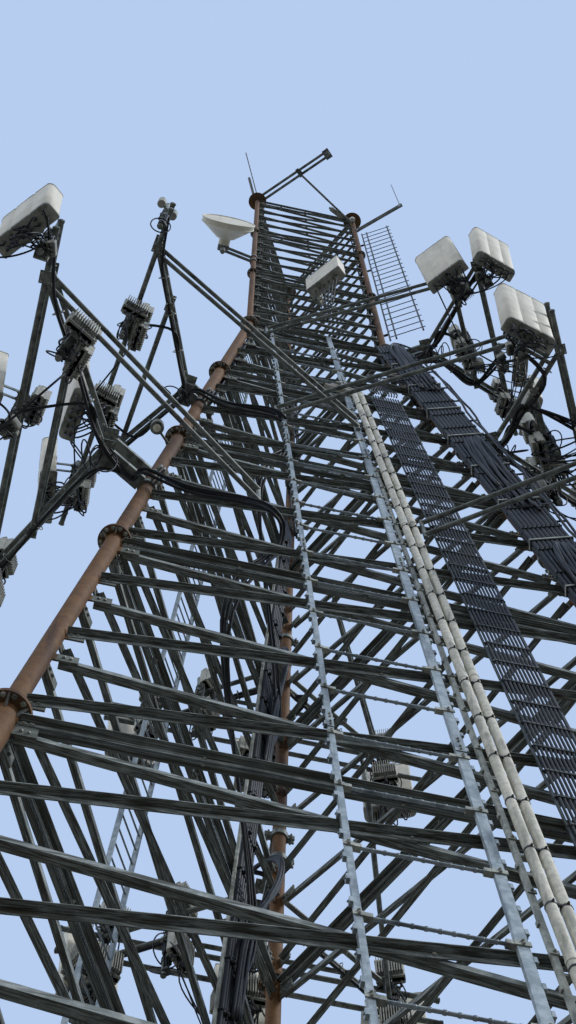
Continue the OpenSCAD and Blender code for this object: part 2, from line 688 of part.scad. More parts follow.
module mount_collar(mount, dz) {
    tube_d = leg_d_at(mount[1]) + 2 * seat_gap;
    translate(leg_point(mount[0], mount[1] + dz)) rotate([0, 0, LEG_BEARING[mount[0]]])
        rotate([0, -leg_lean, 0]) difference() {
            translate([0, 0, -collar_h / 2]) cylinder(h = collar_h, d = tube_d + 2 * collar_t);
            translate([0, 0, -collar_h]) cylinder(h = 2 * collar_h, d = tube_d);
        }
}

// The upright pipes stand outside the arms and the pipe across them
mast_bite = 4;
mast_seat = arm_d / 2 + mast_d / 2 - mast_bite;
function mast_foot(mount, place) =
    hinge(mount) + (place[0] * arm_depth(mount) + mast_seat) * direction(mount[2])
    + place[1] * arm_half(mount) * direction(mount[2] + 90);

// Places children on each upright pipe that has them, turned to where the place faces
module at_masts(mount, what) for (place = mount[6]) if (place[what] > 0)
    translate(mast_foot(mount, place)) rotate([0, 0, place[2]]) {
        $count = place[what];
        children();
    }

// Two square tubes from collars on the leg to the hinge plate
module standoff(mount) {
    bearing = LEG_BEARING[mount[0]];
    leg_r = leg_d_at(mount[1]) / 2 + seat_gap;
    for (dz = [-arm_gap / 2, arm_gap / 2]) {
        mount_collar(mount, dz);
        start = leg_r + collar_t / 2 - dz * tan(leg_lean);
        translate(leg_point(mount[0], mount[1]) + [0, 0, dz]) rotate([0, 0, bearing])
            translate([start, -tube_w, -tube_w / 2]) cube([mount[3] - start, 2 * tube_w, tube_w]);
        mount_frame(mount) translate([-plate_w / 2, -plate_l / 2, dz - plate_thick / 2])
            cube([plate_w, plate_l, plate_thick]);
    }
}

module sector_frame(mount) color([0.36, 0.39, 0.38]) union() {
    standoff(mount);
    half = arm_half(mount);
    depth = arm_depth(mount);
    overhangs = [mount[4][2], mount[4][3]];
    mount_frame(mount) for (dz = [-arm_gap / 2, arm_gap / 2]) translate([0, 0, dz]) {
        for (s = [-1, 1]) rotate([0, 90, s * mount[4][1]])
            cylinder(h = mount[4][0] + arm_d / 4, d = arm_d);
        translate([depth, -half - overhangs[0], 0]) rotate([-90, 0, 0])
            cylinder(h = 2 * half + overhangs[0] + overhangs[1], d = arm_d);
        translate([INNER * depth, -INNER * half, 0]) rotate([-90, 0, 0])
            cylinder(h = 2 * INNER * half, d = inner_pipe_d);
    }
    for (place = mount[6]) translate(mast_foot(mount, place) - [0, 0, mast_l / 2])
        cylinder(h = mast_l, d = mast_d);
    if (mount[5][2] > 0) stub_pipes(mount);
    tie_pipes(mount);
}

// Twin pipes from the - arm to the pipe of the first place
module stub_pipes(mount) {
    mast = mast_foot(mount, mount[6][0]);
    along = (mast - hinge(mount)) * arm_line(mount, -1);
    for (dz = [-arm_gap / 2, arm_gap / 2])
        rod(hinge(mount) + along * arm_line(mount, -1) + [0, 0, dz], mast + [0, 0, dz], tie_d);
}

// Twin pipes from the arm or the first place back to a post on the bracing of the tower
module tie_pipes(mount) {
    side = mount[0] == BACK ? 1 : 0;
    start = mount[5][2] > 0 ? mast_foot(mount, mount[6][0])
        : hinge(mount) + TIE_START * mount[4][0] * arm_line(mount, mount[0] == LEFT ? 1 : -1);
    z = mount[1] - mount[5][1];
    foot_n = taper_face_n + mount[5][3] + tie_foot_d / 2;
    for (dz = [-arm_gap / 2, arm_gap / 2]) rod(start + [0, 0, dz],
        side_point(side, mount[5][0], z + dz, foot_n + tie_foot_d / 4), tie_d);
    rod(side_point(side, mount[5][0], z - tie_foot_half, foot_n),
        side_point(side, mount[5][0], z + tie_foot_half, foot_n), tie_foot_d);
}

module left_lower_frame() sector_frame(LEFT_LOWER);
module left_upper_frame() sector_frame(LEFT_UPPER);
module right_lower_frame() sector_frame(RIGHT_LOWER);
module right_upper_frame() sector_frame(RIGHT_UPPER);
module right_top_frame() sector_frame(RIGHT_TOP);
module back_lower_frame() sector_frame(BACK_LOWER);
module back_upper_frame() sector_frame(BACK_UPPER);

panel_edge = 30;
panel_back_edge = 10;
panel_bracket_w = 48;
panel_bracket_h = 44;
// How far a bracket reaches into its panel
panel_bracket_bite = 20;
// Heights of a panel's two brackets, as shares of its own height
PANEL_BRACKETS = [0.04, 0.86];

// A panel antenna in front of its pipe, with a short bracket below and a long one above
module panel_antenna() {
    h = $count > 1 ? short_panel_h : panel_h;
    translate([mast_d / 2 + panel_gap, 0, -panel_h / 2]) rotate([0, panel_tilt, 0])
        linear_extrude(h) polygon([
            [0, -panel_w / 2 + panel_back_edge], [0, panel_w / 2 - panel_back_edge],
            [panel_back_edge, panel_w / 2], [panel_t - panel_edge, panel_w / 2],
            [panel_t, panel_w / 2 - panel_edge], [panel_t, -panel_w / 2 + panel_edge],
            [panel_t - panel_edge, -panel_w / 2], [panel_back_edge, -panel_w / 2]
        ]);
    for (v = PANEL_BRACKETS) {
        reach = panel_gap + v * h * tan(panel_tilt) + panel_bracket_bite;
        translate([mast_d / 2 + seat_gap, -panel_bracket_w / 2, v * h - panel_h / 2])
            cube([reach, panel_bracket_w, panel_bracket_h]);
    }
}

module panel_antennas(mounts) color([0.84, 0.84, 0.78])
    for (m = mounts) at_masts(m, 3) panel_antenna();

module left_panel_antennas() panel_antennas([LEFT_LOWER, LEFT_UPPER]);
module right_panel_antennas() panel_antennas([RIGHT_LOWER, RIGHT_UPPER, RIGHT_TOP]);
module back_panel_antennas() panel_antennas([BACK_LOWER, BACK_UPPER]);

// Up to three radio units on a pipe, clear of the arms: the angle to where the place faces,
// above (1) or below (-1) the arms, the distance from the pipe and how far its clamp is below the
// middle of the unit
radio_gap = 34;
side_radio_gap = 96;
side_clamp_drop = 70;
RADIO_PLACES = [
    [180, 1, radio_gap, 0], [180, -1, radio_gap, 0], [100, -1, side_radio_gap, side_clamp_drop]
];
radio_clear = 16;
clamp_w = 44;
clamp_h = 36;

module radio_group() for (i = [0:$count - 1]) rotate([0, 0, RADIO_PLACES[i][0]]) {
    stand = RADIO_PLACES[i][2];
    middle = RADIO_PLACES[i][1] * (arm_gap / 2 + arm_d / 2 + radio_clear + radio_h / 2);
    translate([mast_d / 2 + stand, -radio_w / 2, middle - radio_h / 2])
        cube([radio_t, radio_w, radio_h]);
    translate([mast_d / 2 + seat_gap, -clamp_w / 2, middle - clamp_h / 2 - RADIO_PLACES[i][3]])
        cube([stand + clamp_w / 8, clamp_w, clamp_h]);
}

module radio_units(mounts) color([0.55, 0.57, 0.55])
    for (m = mounts) at_masts(m, 4) radio_group();

module left_radio_units() radio_units([LEFT_LOWER, LEFT_UPPER]);
module right_radio_units() radio_units([RIGHT_LOWER, RIGHT_UPPER, RIGHT_TOP]);
module back_radio_units() radio_units([BACK_LOWER, BACK_UPPER]);

// Equipment on the straight part

dish_z = taper_h + 6.5 * straight_bay_v;
DISH_SHIFT = [-345, -160, 0];
dish_hub_d = 120;
dish_hub_t = 60;
dish_rim_t = 50;
dish_depth = 150;
dish_mast_d = 50;
dish_mast_l = 520;
dish_arm_d = 32;
// Distance of the dish's clamps from the middles of the gussets above and below them
dish_clamp_clear = 164.8;
dish_arm_z = straight_bay_v / 2 - dish_clamp_clear;
// Width and depth of the slope round the hub
dish_slope_w = 35;
dish_slope_t = 10;
// Width, depth and height of the plate behind the hub
DISH_PLATE = [90, 30, 120];
dish_mast_seat = 40;
dish_collar_h = 40;

module dish_antenna() color([0.86, 0.86, 0.8])
    translate(leg_point(LEFT, dish_z) + DISH_SHIFT) rotate([90, 0, 0]) rotate_extrude()
    polygon([
        [0, -dish_hub_t], [dish_hub_d / 2, -dish_hub_t], [dish_hub_d / 2, 0],
        [dish_hub_d / 2 + dish_slope_w, dish_slope_t], [dish_d / 2, dish_depth],
        [dish_d / 2, dish_depth + dish_rim_t], [0, dish_depth + dish_rim_t]
    ]);

module dish_bracket() color([0.36, 0.39, 0.38]) union() {
    hub = leg_point(LEFT, dish_z) + DISH_SHIFT + [0, dish_hub_t + seat_gap, 0];
    mast = hub + [0, dish_mast_seat, 0];
    leg_at = leg_point(LEFT, dish_z);
    translate(mast - [0, 0, dish_mast_l / 2]) cylinder(h = dish_mast_l, d = dish_mast_d);
    translate(hub + [0, DISH_PLATE.y / 2, 0]) cube(DISH_PLATE, center = true);
    for (dz = [-dish_arm_z, dish_arm_z]) difference() {
        union() {
            rod(mast + [0, 0, dz], leg_at + [0, 0, dz], dish_arm_d);
            translate(leg_at + [0, 0, dz - dish_collar_h / 2])
                cylinder(h = dish_collar_h, d = upper_leg_d + 2 * collar_t);
        }
        translate(leg_at + [0, 0, dz - dish_collar_h])
            cylinder(h = 2 * dish_collar_h, d = upper_leg_d + 2 * seat_gap);
    }
}

small_panel_u = 65;
small_panel_z = 0.57 * section_h;
small_panel_w = 390;
small_panel_t = 120;
small_panel_h = 700;
small_panel_turn = -50;
// How far the panel starts above its pipe's foot, stands off the pipe and runs past its middle
small_panel_foot = 60;
small_panel_gap = 50;
small_panel_past = 40;
small_pipe_d = 34;
small_pipe_l = 900;
small_bracket_w = 44;
small_bracket_h = 40;
small_bracket_bite = 10;
// Heights of its two brackets above the pipe's foot
SMALL_BRACKETS = [150, small_panel_h - 70];

// The deep panel on a pipe that is clamped to the bracing of the front side, turned to the left
module small_panel() color([0.8, 0.8, 0.75]) straight_side(0)
    translate([small_panel_u, small_panel_z, straight_face_n + small_pipe_d / 2])
    rotate([-90, 0, 0]) {
        back = -small_pipe_d / 2 - small_panel_gap;
        cylinder(h = small_pipe_l, d = small_pipe_d);
        rotate([0, 0, small_panel_turn]) {
            translate([-small_panel_past, back - small_panel_t, small_panel_foot])
                cube([small_panel_w, small_panel_t, small_panel_h]);
            for (z = SMALL_BRACKETS)
                translate([-small_bracket_w / 2, back - small_bracket_bite, z])
                    cube([small_bracket_w, small_panel_gap + small_bracket_bite + 2, small_bracket_h]);
        }
    }

top_z = taper_h + straight_h + flange_t;
boom_d = 34;
boom_gap = 60;
boom_foot_t = 20;
// The block under the boom: its width, how far it is behind the leg's middle, how deep the pipes
// lie in it
boom_block_w = 100;
boom_block_back = 10;
boom_block_bite = 4;
// Length, width and thickness of the boom's two plates, and where they are
BOOM_PLATE = [44, 120, 16];
BOOM_PLATES = [0.56 * boom_l, boom_l - 60];
BOOM_BEARING = -46;
SIDE_ARM_BEARING = -42;

// Twin pipes that lie on a block on the left cap, with a plate at mid length and at the end
module top_boom() color([0.36, 0.39, 0.38])
    translate(leg_point(LEFT, top_z) + [0, 0, seat_gap]) rotate([0, 0, BOOM_BEARING]) {
        translate([-boom_block_back, -boom_block_w / 2, 0])
            cube([boom_block_w, boom_block_w, boom_foot_t + boom_block_bite]);
        translate([0, 0, boom_foot_t]) {
            for (s = [-0.5, 0.5]) translate([0, s * boom_gap, 0]) rotate([0, 90, 0])
                cylinder(h = boom_l, d = boom_d);
            for (x = BOOM_PLATES) translate([x, -BOOM_PLATE.y / 2, -BOOM_PLATE.z / 2])
                cube(BOOM_PLATE);
        }
    }

side_arm_z = taper_h + straight_h - 1000;
side_arm_d = 30;
side_arm_gap = 120;
side_clamp_h = 180;
side_clamp_w = 24;
// Depth of the arm's pipes in the clamp on the leg
side_arm_inset = 6;
// Where its two clamps are
SIDE_CLAMPS = [0, side_arm_l - 40];

module side_arm() color([0.36, 0.39, 0.38])
    translate(leg_point(RIGHT, side_arm_z)) rotate([0, 0, SIDE_ARM_BEARING])
    translate([upper_leg_d / 2 + seat_gap, 0, 0]) {
        for (dz = [-side_arm_gap / 2, side_arm_gap / 2]) translate([side_arm_inset, 0, dz])
            rotate([0, 90, 0]) cylinder(h = side_arm_l - side_arm_inset, d = side_arm_d);
        for (x = SIDE_CLAMPS) translate([x, -side_clamp_w / 2, -side_clamp_h / 2])
            cube([side_clamp_w, side_clamp_w, side_clamp_h]);
    }

whip_d = 10;
whip_wall = 2;

// A thin upright antenna with its socket
module whip(socket_h, h) {
    cylinder(h = socket_h, d = 2 * (whip_d + whip_wall));
    cylinder(h = h, d = whip_d);
}

WHIP_BEARING = 240;
whip_lean = 33;
whip_foot_t = 14;
whip_foot_d = 34;
whip_bite = 4;
// Distance of the leaning whips from the leg's middle, as a share of the cap
WHIP_REACH = 0.34;
// The leaning whips: distance to the right of the middle line, length, diameter
LEANING_WHIPS = [[20, 900, 14], [-24, 380, 34]];
// Heights of the upright whips and of their sockets
boom_whip_h = 700;
boom_socket_h = 60;
arm_whip_h = 2200;
arm_socket_h = 70;

// A whip that leans out from a flat foot
module whip_leaning(l, d) rotate([0, 0, WHIP_BEARING]) {
    cylinder(h = whip_foot_t, d = whip_foot_d);
    translate([0, 0, whip_foot_t]) rotate([0, whip_lean, 0]) translate([0, 0, -whip_bite])
        cylinder(h = l, d = d);
}

module whip_antennas() color([0.75, 0.75, 0.72]) {
    foot = leg_point(LEFT, top_z) + [0, 0, seat_gap] + WHIP_REACH * cap_d * direction(WHIP_BEARING);
    for (w = LEANING_WHIPS) translate(foot + w[0] * direction(WHIP_BEARING + 90))
        whip_leaning(w[1], w[2]);
    translate(leg_point(LEFT, top_z) + [0, 0, boom_foot_t + BOOM_PLATE.z / 2 + 2 * seat_gap]
        + (BOOM_PLATES[1] + BOOM_PLATE.x / 2) * direction(BOOM_BEARING))
        whip(boom_socket_h, boom_whip_h);
    translate(leg_point(RIGHT, side_arm_z) + [0, 0, side_clamp_h / 2 + seat_gap]
        + (upper_leg_d / 2 + SIDE_CLAMPS[1] + side_clamp_w / 2) * direction(SIDE_ARM_BEARING))
        whip(arm_socket_h, arm_whip_h);
}

rod_l = 260;
rod_d = 20;
rod_foot_h = 60;
rod_foot_d = 50;
spike_l = 95;
spike_d = 4;
spike_count = 8;
spike_z = 150;
spike_ring_pitch = 45;
// Angles of the three rings of spikes to the rod
SPIKE_ANGLES = [60, 35, 10];

// The spiked rod that bleeds off static charge
module lightning_rod() color([0.5, 0.52, 0.5])
    translate(leg_point(RIGHT, top_z) + [0, 0, seat_gap]) {
        cylinder(h = rod_l, d = rod_d);
        cylinder(h = rod_foot_h, d = rod_foot_d);
        for (ring = [0:2], i = [0:spike_count - 1])
            translate([0, 0, spike_z + spike_ring_pitch * ring])
            rotate([0, 0, (i + ring / 3) * 360 / spike_count]) rotate([0, SPIKE_ANGLES[ring], 0])
            cylinder(h = spike_l, d = spike_d);
    }

marker_stem_d = 16;
marker_stem_l = 120;
marker_d = 80;
marker_h = 80;
// How far the lamp hangs below its stem, and how far the stem is below the flange
marker_sink = 2;
marker_drop = 380;
MARKER_BEARING = 225;

module marker_light() color([0.7, 0.3, 0.25]) union() {
    leg_at = leg_point(LEFT, (lower_mount_section + 1) * section_h - marker_drop);
    start = leg_at + (middle_leg_d / 2 + seat_gap + marker_stem_d / 2 * tan(leg_lean))
        * direction(MARKER_BEARING);
    end = start + marker_stem_l * direction(MARKER_BEARING);
    rod(start, end, marker_stem_d);
    translate(end - [0, 0, marker_stem_d / 2 + marker_sink]) cylinder(h = marker_h, d = marker_d);
}

left_leg_tapered();
right_leg_tapered();
back_leg_tapered();
left_leg_straight();
right_leg_straight();
back_leg_straight();
front_bracing_tapered();
right_bracing_tapered();
left_bracing_tapered();
front_bracing_straight();
right_bracing_straight();
left_bracing_straight();
base_plates();
front_ladder();
conduits();
conduit_supports();
leg_coax();
leg_coax_hangers();
cable_ladder();
ladder_cables();
inner_coax();
inner_coax_ladder();
climbing_ladder();
standoff_ladder();
left_lower_frame();
left_upper_frame();
right_lower_frame();
right_upper_frame();
right_top_frame();
back_lower_frame();
back_upper_frame();
left_panel_antennas();
right_panel_antennas();
back_panel_antennas();
left_radio_units();
right_radio_units();
back_radio_units();
dish_antenna();
dish_bracket();
small_panel();
top_boom();
side_arm();
whip_antennas();
lightning_rod();
marker_light();
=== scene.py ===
"""The looks of a three-legged lattice radio tower, a 1:2 scale model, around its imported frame."""
import json
import math
from collections import namedtuple

import bpy
import numpy as np
from mathutils import Matrix, Vector


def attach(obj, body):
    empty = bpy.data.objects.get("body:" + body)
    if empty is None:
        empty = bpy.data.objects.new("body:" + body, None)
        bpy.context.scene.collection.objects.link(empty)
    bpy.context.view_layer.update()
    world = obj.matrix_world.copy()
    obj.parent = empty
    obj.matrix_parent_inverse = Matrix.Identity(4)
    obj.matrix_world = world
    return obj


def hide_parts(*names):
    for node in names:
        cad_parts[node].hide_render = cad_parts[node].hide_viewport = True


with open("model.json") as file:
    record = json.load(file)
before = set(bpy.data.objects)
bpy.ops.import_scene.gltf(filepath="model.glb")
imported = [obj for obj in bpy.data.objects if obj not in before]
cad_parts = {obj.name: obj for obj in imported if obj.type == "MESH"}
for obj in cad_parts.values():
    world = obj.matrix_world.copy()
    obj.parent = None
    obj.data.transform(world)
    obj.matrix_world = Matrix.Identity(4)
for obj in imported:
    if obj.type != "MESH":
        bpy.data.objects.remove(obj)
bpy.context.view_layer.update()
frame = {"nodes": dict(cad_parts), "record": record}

# Sizes of the tower in metres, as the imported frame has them
SECTION = 3.048
TAPER_SECTIONS = 7
STRAIGHT_SECTIONS = 3
BASE_W = 4.350
TOP_W = 1.250
PLATE_T = 0.030
LOWER_LEG_D = 0.110
MIDDLE_LEG_D = 0.084
UPPER_LEG_D = 0.057
LOWER_SECTIONS = 3

TAPER_BAYS = 3
STRAIGHT_BAYS = 5
GUSSET_T = 0.008
ANGLE_T = 0.004
TAPER_ANGLE_W = 0.038
STRAIGHT_ANGLE_W = 0.025
TAPER_OFFSET = 0.150
STRAIGHT_OFFSET = 0.060
HORIZONTAL_DROP = 0.085
END_GAP = 0.010
SEAT = 0.0003
FLANGE_T = 0.014
LADDER_U, LADDER_LEAN, LADDER_W, LADDER_PITCH = 0.129, 0.83, 0.528, 0.606
CONDUIT_U, CONDUIT_LEAN, CONDUIT_D, CONDUIT_PITCH, CONDUIT_DROP = 0.590, 1.3, 0.042, 0.052, 3.350
STRUT_T = 0.020
CABLE_LADDER_U, CABLE_LADDER_LEAN, CABLE_LADDER_W, CABLE_LADDER_DROP = 0.974, 1.65, 0.224, 3.050
COAX_D, COAX_PITCH, COAX_COLUMNS, COAX_BEARING = 0.025, 0.027, 9, -75
COAX_DROPS, COAX_STAND = (0.360, 1.060), 0.105
INNER_COAX_U, INNER_COAX_DROP = 0.600, 2.750

BASE_R = BASE_W / math.sqrt(3)
TOP_R = TOP_W / math.sqrt(3)
TAPER_H = TAPER_SECTIONS * SECTION
STRAIGHT_H = STRAIGHT_SECTIONS * SECTION
LEG_LEAN = math.atan((BASE_R - TOP_R) / TAPER_H)
SIDE_LEAN = math.atan((BASE_R - TOP_R) / 2 / TAPER_H)
LEG_SLOPE_L = TAPER_H / math.cos(LEG_LEAN)
SIDE_SLOPE_L = TAPER_H / math.cos(SIDE_LEAN)
TAPER_BAY = SIDE_SLOPE_L / (TAPER_SECTIONS * TAPER_BAYS)
STRAIGHT_BAY = SECTION / STRAIGHT_BAYS
TAPER_FACE = GUSSET_T / 2 + TAPER_ANGLE_W + SEAT

LEFT, RIGHT, BACK = 0, 1, 2
LEG_BEARING = (210, 330, 90)
SIDE_BEARING = (270, 30, 150)
LEG_NAMES = ("left", "right", "back")
SIDE_NAMES = ("front", "right", "left")
EAST, NORTH, UP = np.eye(3)


def direction(bearing):
    """The level unit vector at a bearing in degrees."""
    a = math.radians(bearing)
    return np.array([math.cos(a), math.sin(a), 0.0])


def leg_r_at(z):
    """Distance of the leg centres from the tower's axis at a height above the plates."""
    return BASE_R - (BASE_R - TOP_R) * z / TAPER_H if z < TAPER_H else TOP_R


def leg_d_at(z):
    """Diameter of the leg tube at a height above the plates."""
    if z < LOWER_SECTIONS * SECTION:
        return LOWER_LEG_D
    return MIDDLE_LEG_D if z < TAPER_H else UPPER_LEG_D


def leg_point(leg, z):
    """The centre of a leg at a height above the plates."""
    return leg_r_at(z) * direction(LEG_BEARING[leg]) + np.array([0, -BASE_R, PLATE_T + z])


# Camera

CAMERA_AT = (-1.11744, -6.39330, 1.22793)
CAMERA_YAW = 0.227671
CAMERA_PITCH = math.radians(75.286)
CAMERA_ROLL = -0.019648
PHOTO_SIZE = (576, 1024)
FOCAL_PX = 2265.18
SENSOR = 36.0
FAR = 2000.0


def make_camera():
    """Sets the camera where the photograph was taken from, looking steeply up the front side."""
    yaw, pitch, roll = CAMERA_YAW, CAMERA_PITCH, CAMERA_ROLL
    level, rise = math.cos(pitch), math.sin(pitch)
    ahead = Vector((math.sin(yaw) * level, math.cos(yaw) * level, rise))
    right = Vector((math.cos(yaw), -math.sin(yaw), 0))
    up = right.cross(ahead)
    turned_right = right * math.cos(roll) + up * math.sin(roll)
    turned_up = up * math.cos(roll) - right * math.sin(roll)
    data = bpy.data.cameras.new("camera")
    data.sensor_width = SENSOR
    data.lens = FOCAL_PX * SENSOR / max(PHOTO_SIZE)
    data.clip_end = FAR
    camera = bpy.data.objects.new("camera", data)
    turn = Matrix((turned_right, turned_up, -ahead)).transposed().to_4x4()
    camera.matrix_world = Matrix.Translation(CAMERA_AT) @ turn
    bpy.context.scene.collection.objects.link(camera)
    bpy.context.scene.camera = camera


# Materials

# Weathered finishes: base, dark and pale colour, rust, metallic, roughness and grain
WEATHERED = {
    "base_steel": ((120, 124, 120), (70, 72, 70), (160, 164, 160), 0.35, 0.3, 0.6, 9.0),
    "ladder_zinc": ((134, 146, 152), (90, 100, 106), (168, 180, 186), 0.05, 0.3, 0.45, 9.0),
    "conduit_pipe": ((176, 176, 164), (118, 118, 106), (206, 205, 194), 0.1, 0.05, 0.5, 13.0),
    "support_steel": ((134, 138, 130), (84, 88, 82), (176, 178, 168), 0.15, 0.3, 0.5, 9.0),
    "cable_ladder_steel": ((46, 50, 50), (26, 28, 28), (78, 84, 84), 0.15, 0.2, 0.55, 9.0),
    "mount_steel": ((98, 105, 101), (54, 59, 57), (142, 149, 143), 0.12, 0.2, 0.5, 9.0),
    "upper_mount_steel": ((102, 108, 110), (62, 67, 69), (142, 148, 149), 0.15, 0.2, 0.5, 9.0),
    "rod_metal": ((84, 86, 82), (40, 41, 40), (140, 140, 134), 0.2, 0.4, 0.45, 9.0),
    "radio_case": ((150, 153, 146), (104, 107, 101), (178, 180, 172), 0.05, 0.0, 0.55, 9.0),
    "marker_light": ((84, 84, 74), (46, 46, 40), (118, 116, 104), 0.2, 0.1, 0.6, 9.0),
}
# Covers: colour, shade and the strength of the rain streaks
COVERS = {
    "antenna_cover": ((206, 203, 188), (188, 186, 172), 0.4),
    "dish_cover": ((214, 212, 198), (198, 196, 182), 0.3),
    "whip_cover": ((80, 84, 82), (56, 60, 58), 0.4),
    "marker_lens": ((196, 190, 176), (150, 140, 124), 0.5),
}


class Shader:
    """A node material with its Principled shader, built node by node."""

    def __init__(self, name):
        self.material = bpy.data.materials.new(name)
        self.material.use_nodes = True
        self.nodes = self.material.node_tree.nodes
        self.links = self.material.node_tree.links
        self.surface = self.nodes["Principled BSDF"]
        coordinates = self.add("ShaderNodeTexCoord")
        self.place = coordinates.outputs["Object"]
        self.facing = coordinates.outputs["Normal"]

    def add(self, kind, settings=(), **values):
        """Adds a node, sets its properties from settings and its sockets from values."""
        node = self.nodes.new(kind)
        for key, value in dict(settings).items():
            setattr(node, key, value)
        for key, value in values.items():
            self.put(node, key, value)
        return node

    def put(self, node, key, value):
        """Links or sets one socket, given by its name or, after an underscore, by its number."""
        numbered = key[0] == "_" and key[1:].isdigit()
        socket = node.inputs[int(key[1:]) if numbered else key.replace("_", " ")]
        if isinstance(value, bpy.types.NodeSocket):
            self.links.new(value, socket)
        else:
            socket.default_value = value

    def turn(self, bearing):
        """Turns the coordinates about the vertical, so that their x runs along a bearing."""
        self.place = self.add("ShaderNodeMapping", Vector=self.place,
                              Rotation=(0, 0, -math.radians(bearing))).outputs[0]

    def math(self, operation, a, b=0.0):
        return self.add("ShaderNodeMath", {"operation": operation}, _0=a, _1=b).outputs[0]

    def vector(self, operation, a, b=(0, 0, 0)):
        node = self.add("ShaderNodeVectorMath", {"operation": operation}, _0=a, _1=b)
        return node.outputs["Value" if operation in ("LENGTH", "DOT_PRODUCT") else "Vector"]

    def noise(self, scale, detail=3.0, rough=0.55, stretch=(1, 1, 1), warp=0.0):
        """Smooth noise on object coordinates, stretched along the axes."""
        place = self.add("ShaderNodeMapping", Vector=self.place, Scale=stretch).outputs[0]
        node = self.add("ShaderNodeTexNoise", Vector=place, Scale=scale, Detail=detail,
                        Roughness=rough, Distortion=warp)
        return node.outputs["Fac"]

    def ramp(self, value, low, high):
        """Rises smoothly from 0 at low to 1 at high."""
        return self.add("ShaderNodeMapRange", {"interpolation_type": "SMOOTHSTEP"}, Value=value,
                        From_Min=low, From_Max=high).outputs["Result"]

    def mix(self, share, a, b):
        """Mixes two colours by a share."""
        return self.add("ShaderNodeMix", {"data_type": "RGBA"}, _0=share, _6=a, _7=b).outputs[2]

    def with_underside_shade(self, colour, share=0.55, shade_and_grime=None):
        """Mixes painted shade into a colour where the surface faces down, made patchy by noise."""
        # Painted shade: its share grows as the surface turns to face down
        down = self.vector("DOT_PRODUCT", self.facing, (0, 0, -1))
        patchy = self.math("ADD", down, self.math("MULTIPLY", self.noise(7.0, 4, 0.6), 0.3))
        return self.mix(self.math("MULTIPLY", self.ramp(patchy, 0.12, 0.75), share), colour,
                        shade_and_grime or rgb(26, 29, 27))

    def bump(self, height, strength, distance):
        node = self.add("ShaderNodeBump", Height=height, Strength=strength, Distance=distance)
        self.put(self.surface, "Normal", node.outputs[0])

    def finish(self, colour, rough, metallic=0.0, **constants):
        """Sets the shader's colour and roughness, and constants on its own sockets."""
        values = {"Base Color": colour, "Roughness": rough, "Metallic": metallic, **constants}
        for key, value in values.items():
            self.put(self.surface, key, value)
        return self.material


def rgb(r, g, b):
    """A colour given as display values from 0 to 255."""
    linear = [((v / 255 + 0.055) / 1.055) ** 2.4 if v > 10 else v / 255 / 12.92 for v in (r, g, b)]
    return (*linear, 1.0)


def weathered(name, base, dark, pale, rust, metallic, rough, grain):
    """Old zinc or paint: mottled, with dark grime in runs, pale bloom and spots of rust."""
    s = Shader(name)
    mottle = s.noise(grain * 2.2, 5, 0.65)
    runs = s.noise(grain * 1.3, 4, 0.6, stretch=(1, 1, 0.16), warp=0.4)
    colour = s.mix(s.ramp(mottle, 0.36, 0.66), rgb(*base), rgb(*pale))
    colour = s.mix(s.ramp(runs, 0.46, 0.72), colour, rgb(*dark))
    spots = s.noise(grain * 4.5, 6, 0.7, warp=0.8)
    colour = s.mix(s.ramp(spots, 0.66 - 0.16 * rust, 0.80 - 0.12 * rust), colour, rgb(96, 60, 36))
    s.bump(s.noise(grain * 24, 3, 0.6), 0.35, 0.002)
    roughness = s.add("ShaderNodeMapRange", Value=mottle, To_Min=rough - 0.12, To_Max=rough + 0.15)
    # Painted shade darkens the faces that look down
    return s.finish(s.with_underside_shade(colour), roughness.outputs["Result"], metallic,
                    Specular_IOR_Level=0.3)


def brace_zinc(name, bearing):
    """Old zinc on the braces of one side, which run along a bearing: bright flanges, and painted
    shade on the undersides, dark and streaked with grime along the braces."""
    s = Shader(name)
    s.turn(bearing)
    mottle = s.noise(11.0, 5, 0.65)
    streaks = s.noise(1.0, 4, 0.62, stretch=(3.0, 160, 42))
    broad = s.noise(1.0, 3, 0.6, stretch=(1.2, 30, 14))
    colour = s.mix(s.ramp(mottle, 0.36, 0.66), rgb(112, 120, 118), rgb(160, 168, 168))
    colour = s.mix(s.ramp(streaks, 0.44, 0.62), colour, rgb(70, 72, 64))
    colour = s.mix(s.ramp(broad, 0.52, 0.70), colour, rgb(58, 54, 42))
    # Colour of the painted shade on the braces' undersides, streaked with grime along them
    shade_and_grime = s.mix(s.ramp(streaks, 0.36, 0.56), rgb(82, 90, 88), rgb(32, 34, 30))
    s.bump(s.noise(220.0, 3, 0.6), 0.3, 0.002)
    return s.finish(s.with_underside_shade(colour, 0.78, shade_and_grime), 0.62, 0.15, Specular_IOR_Level=0.3)


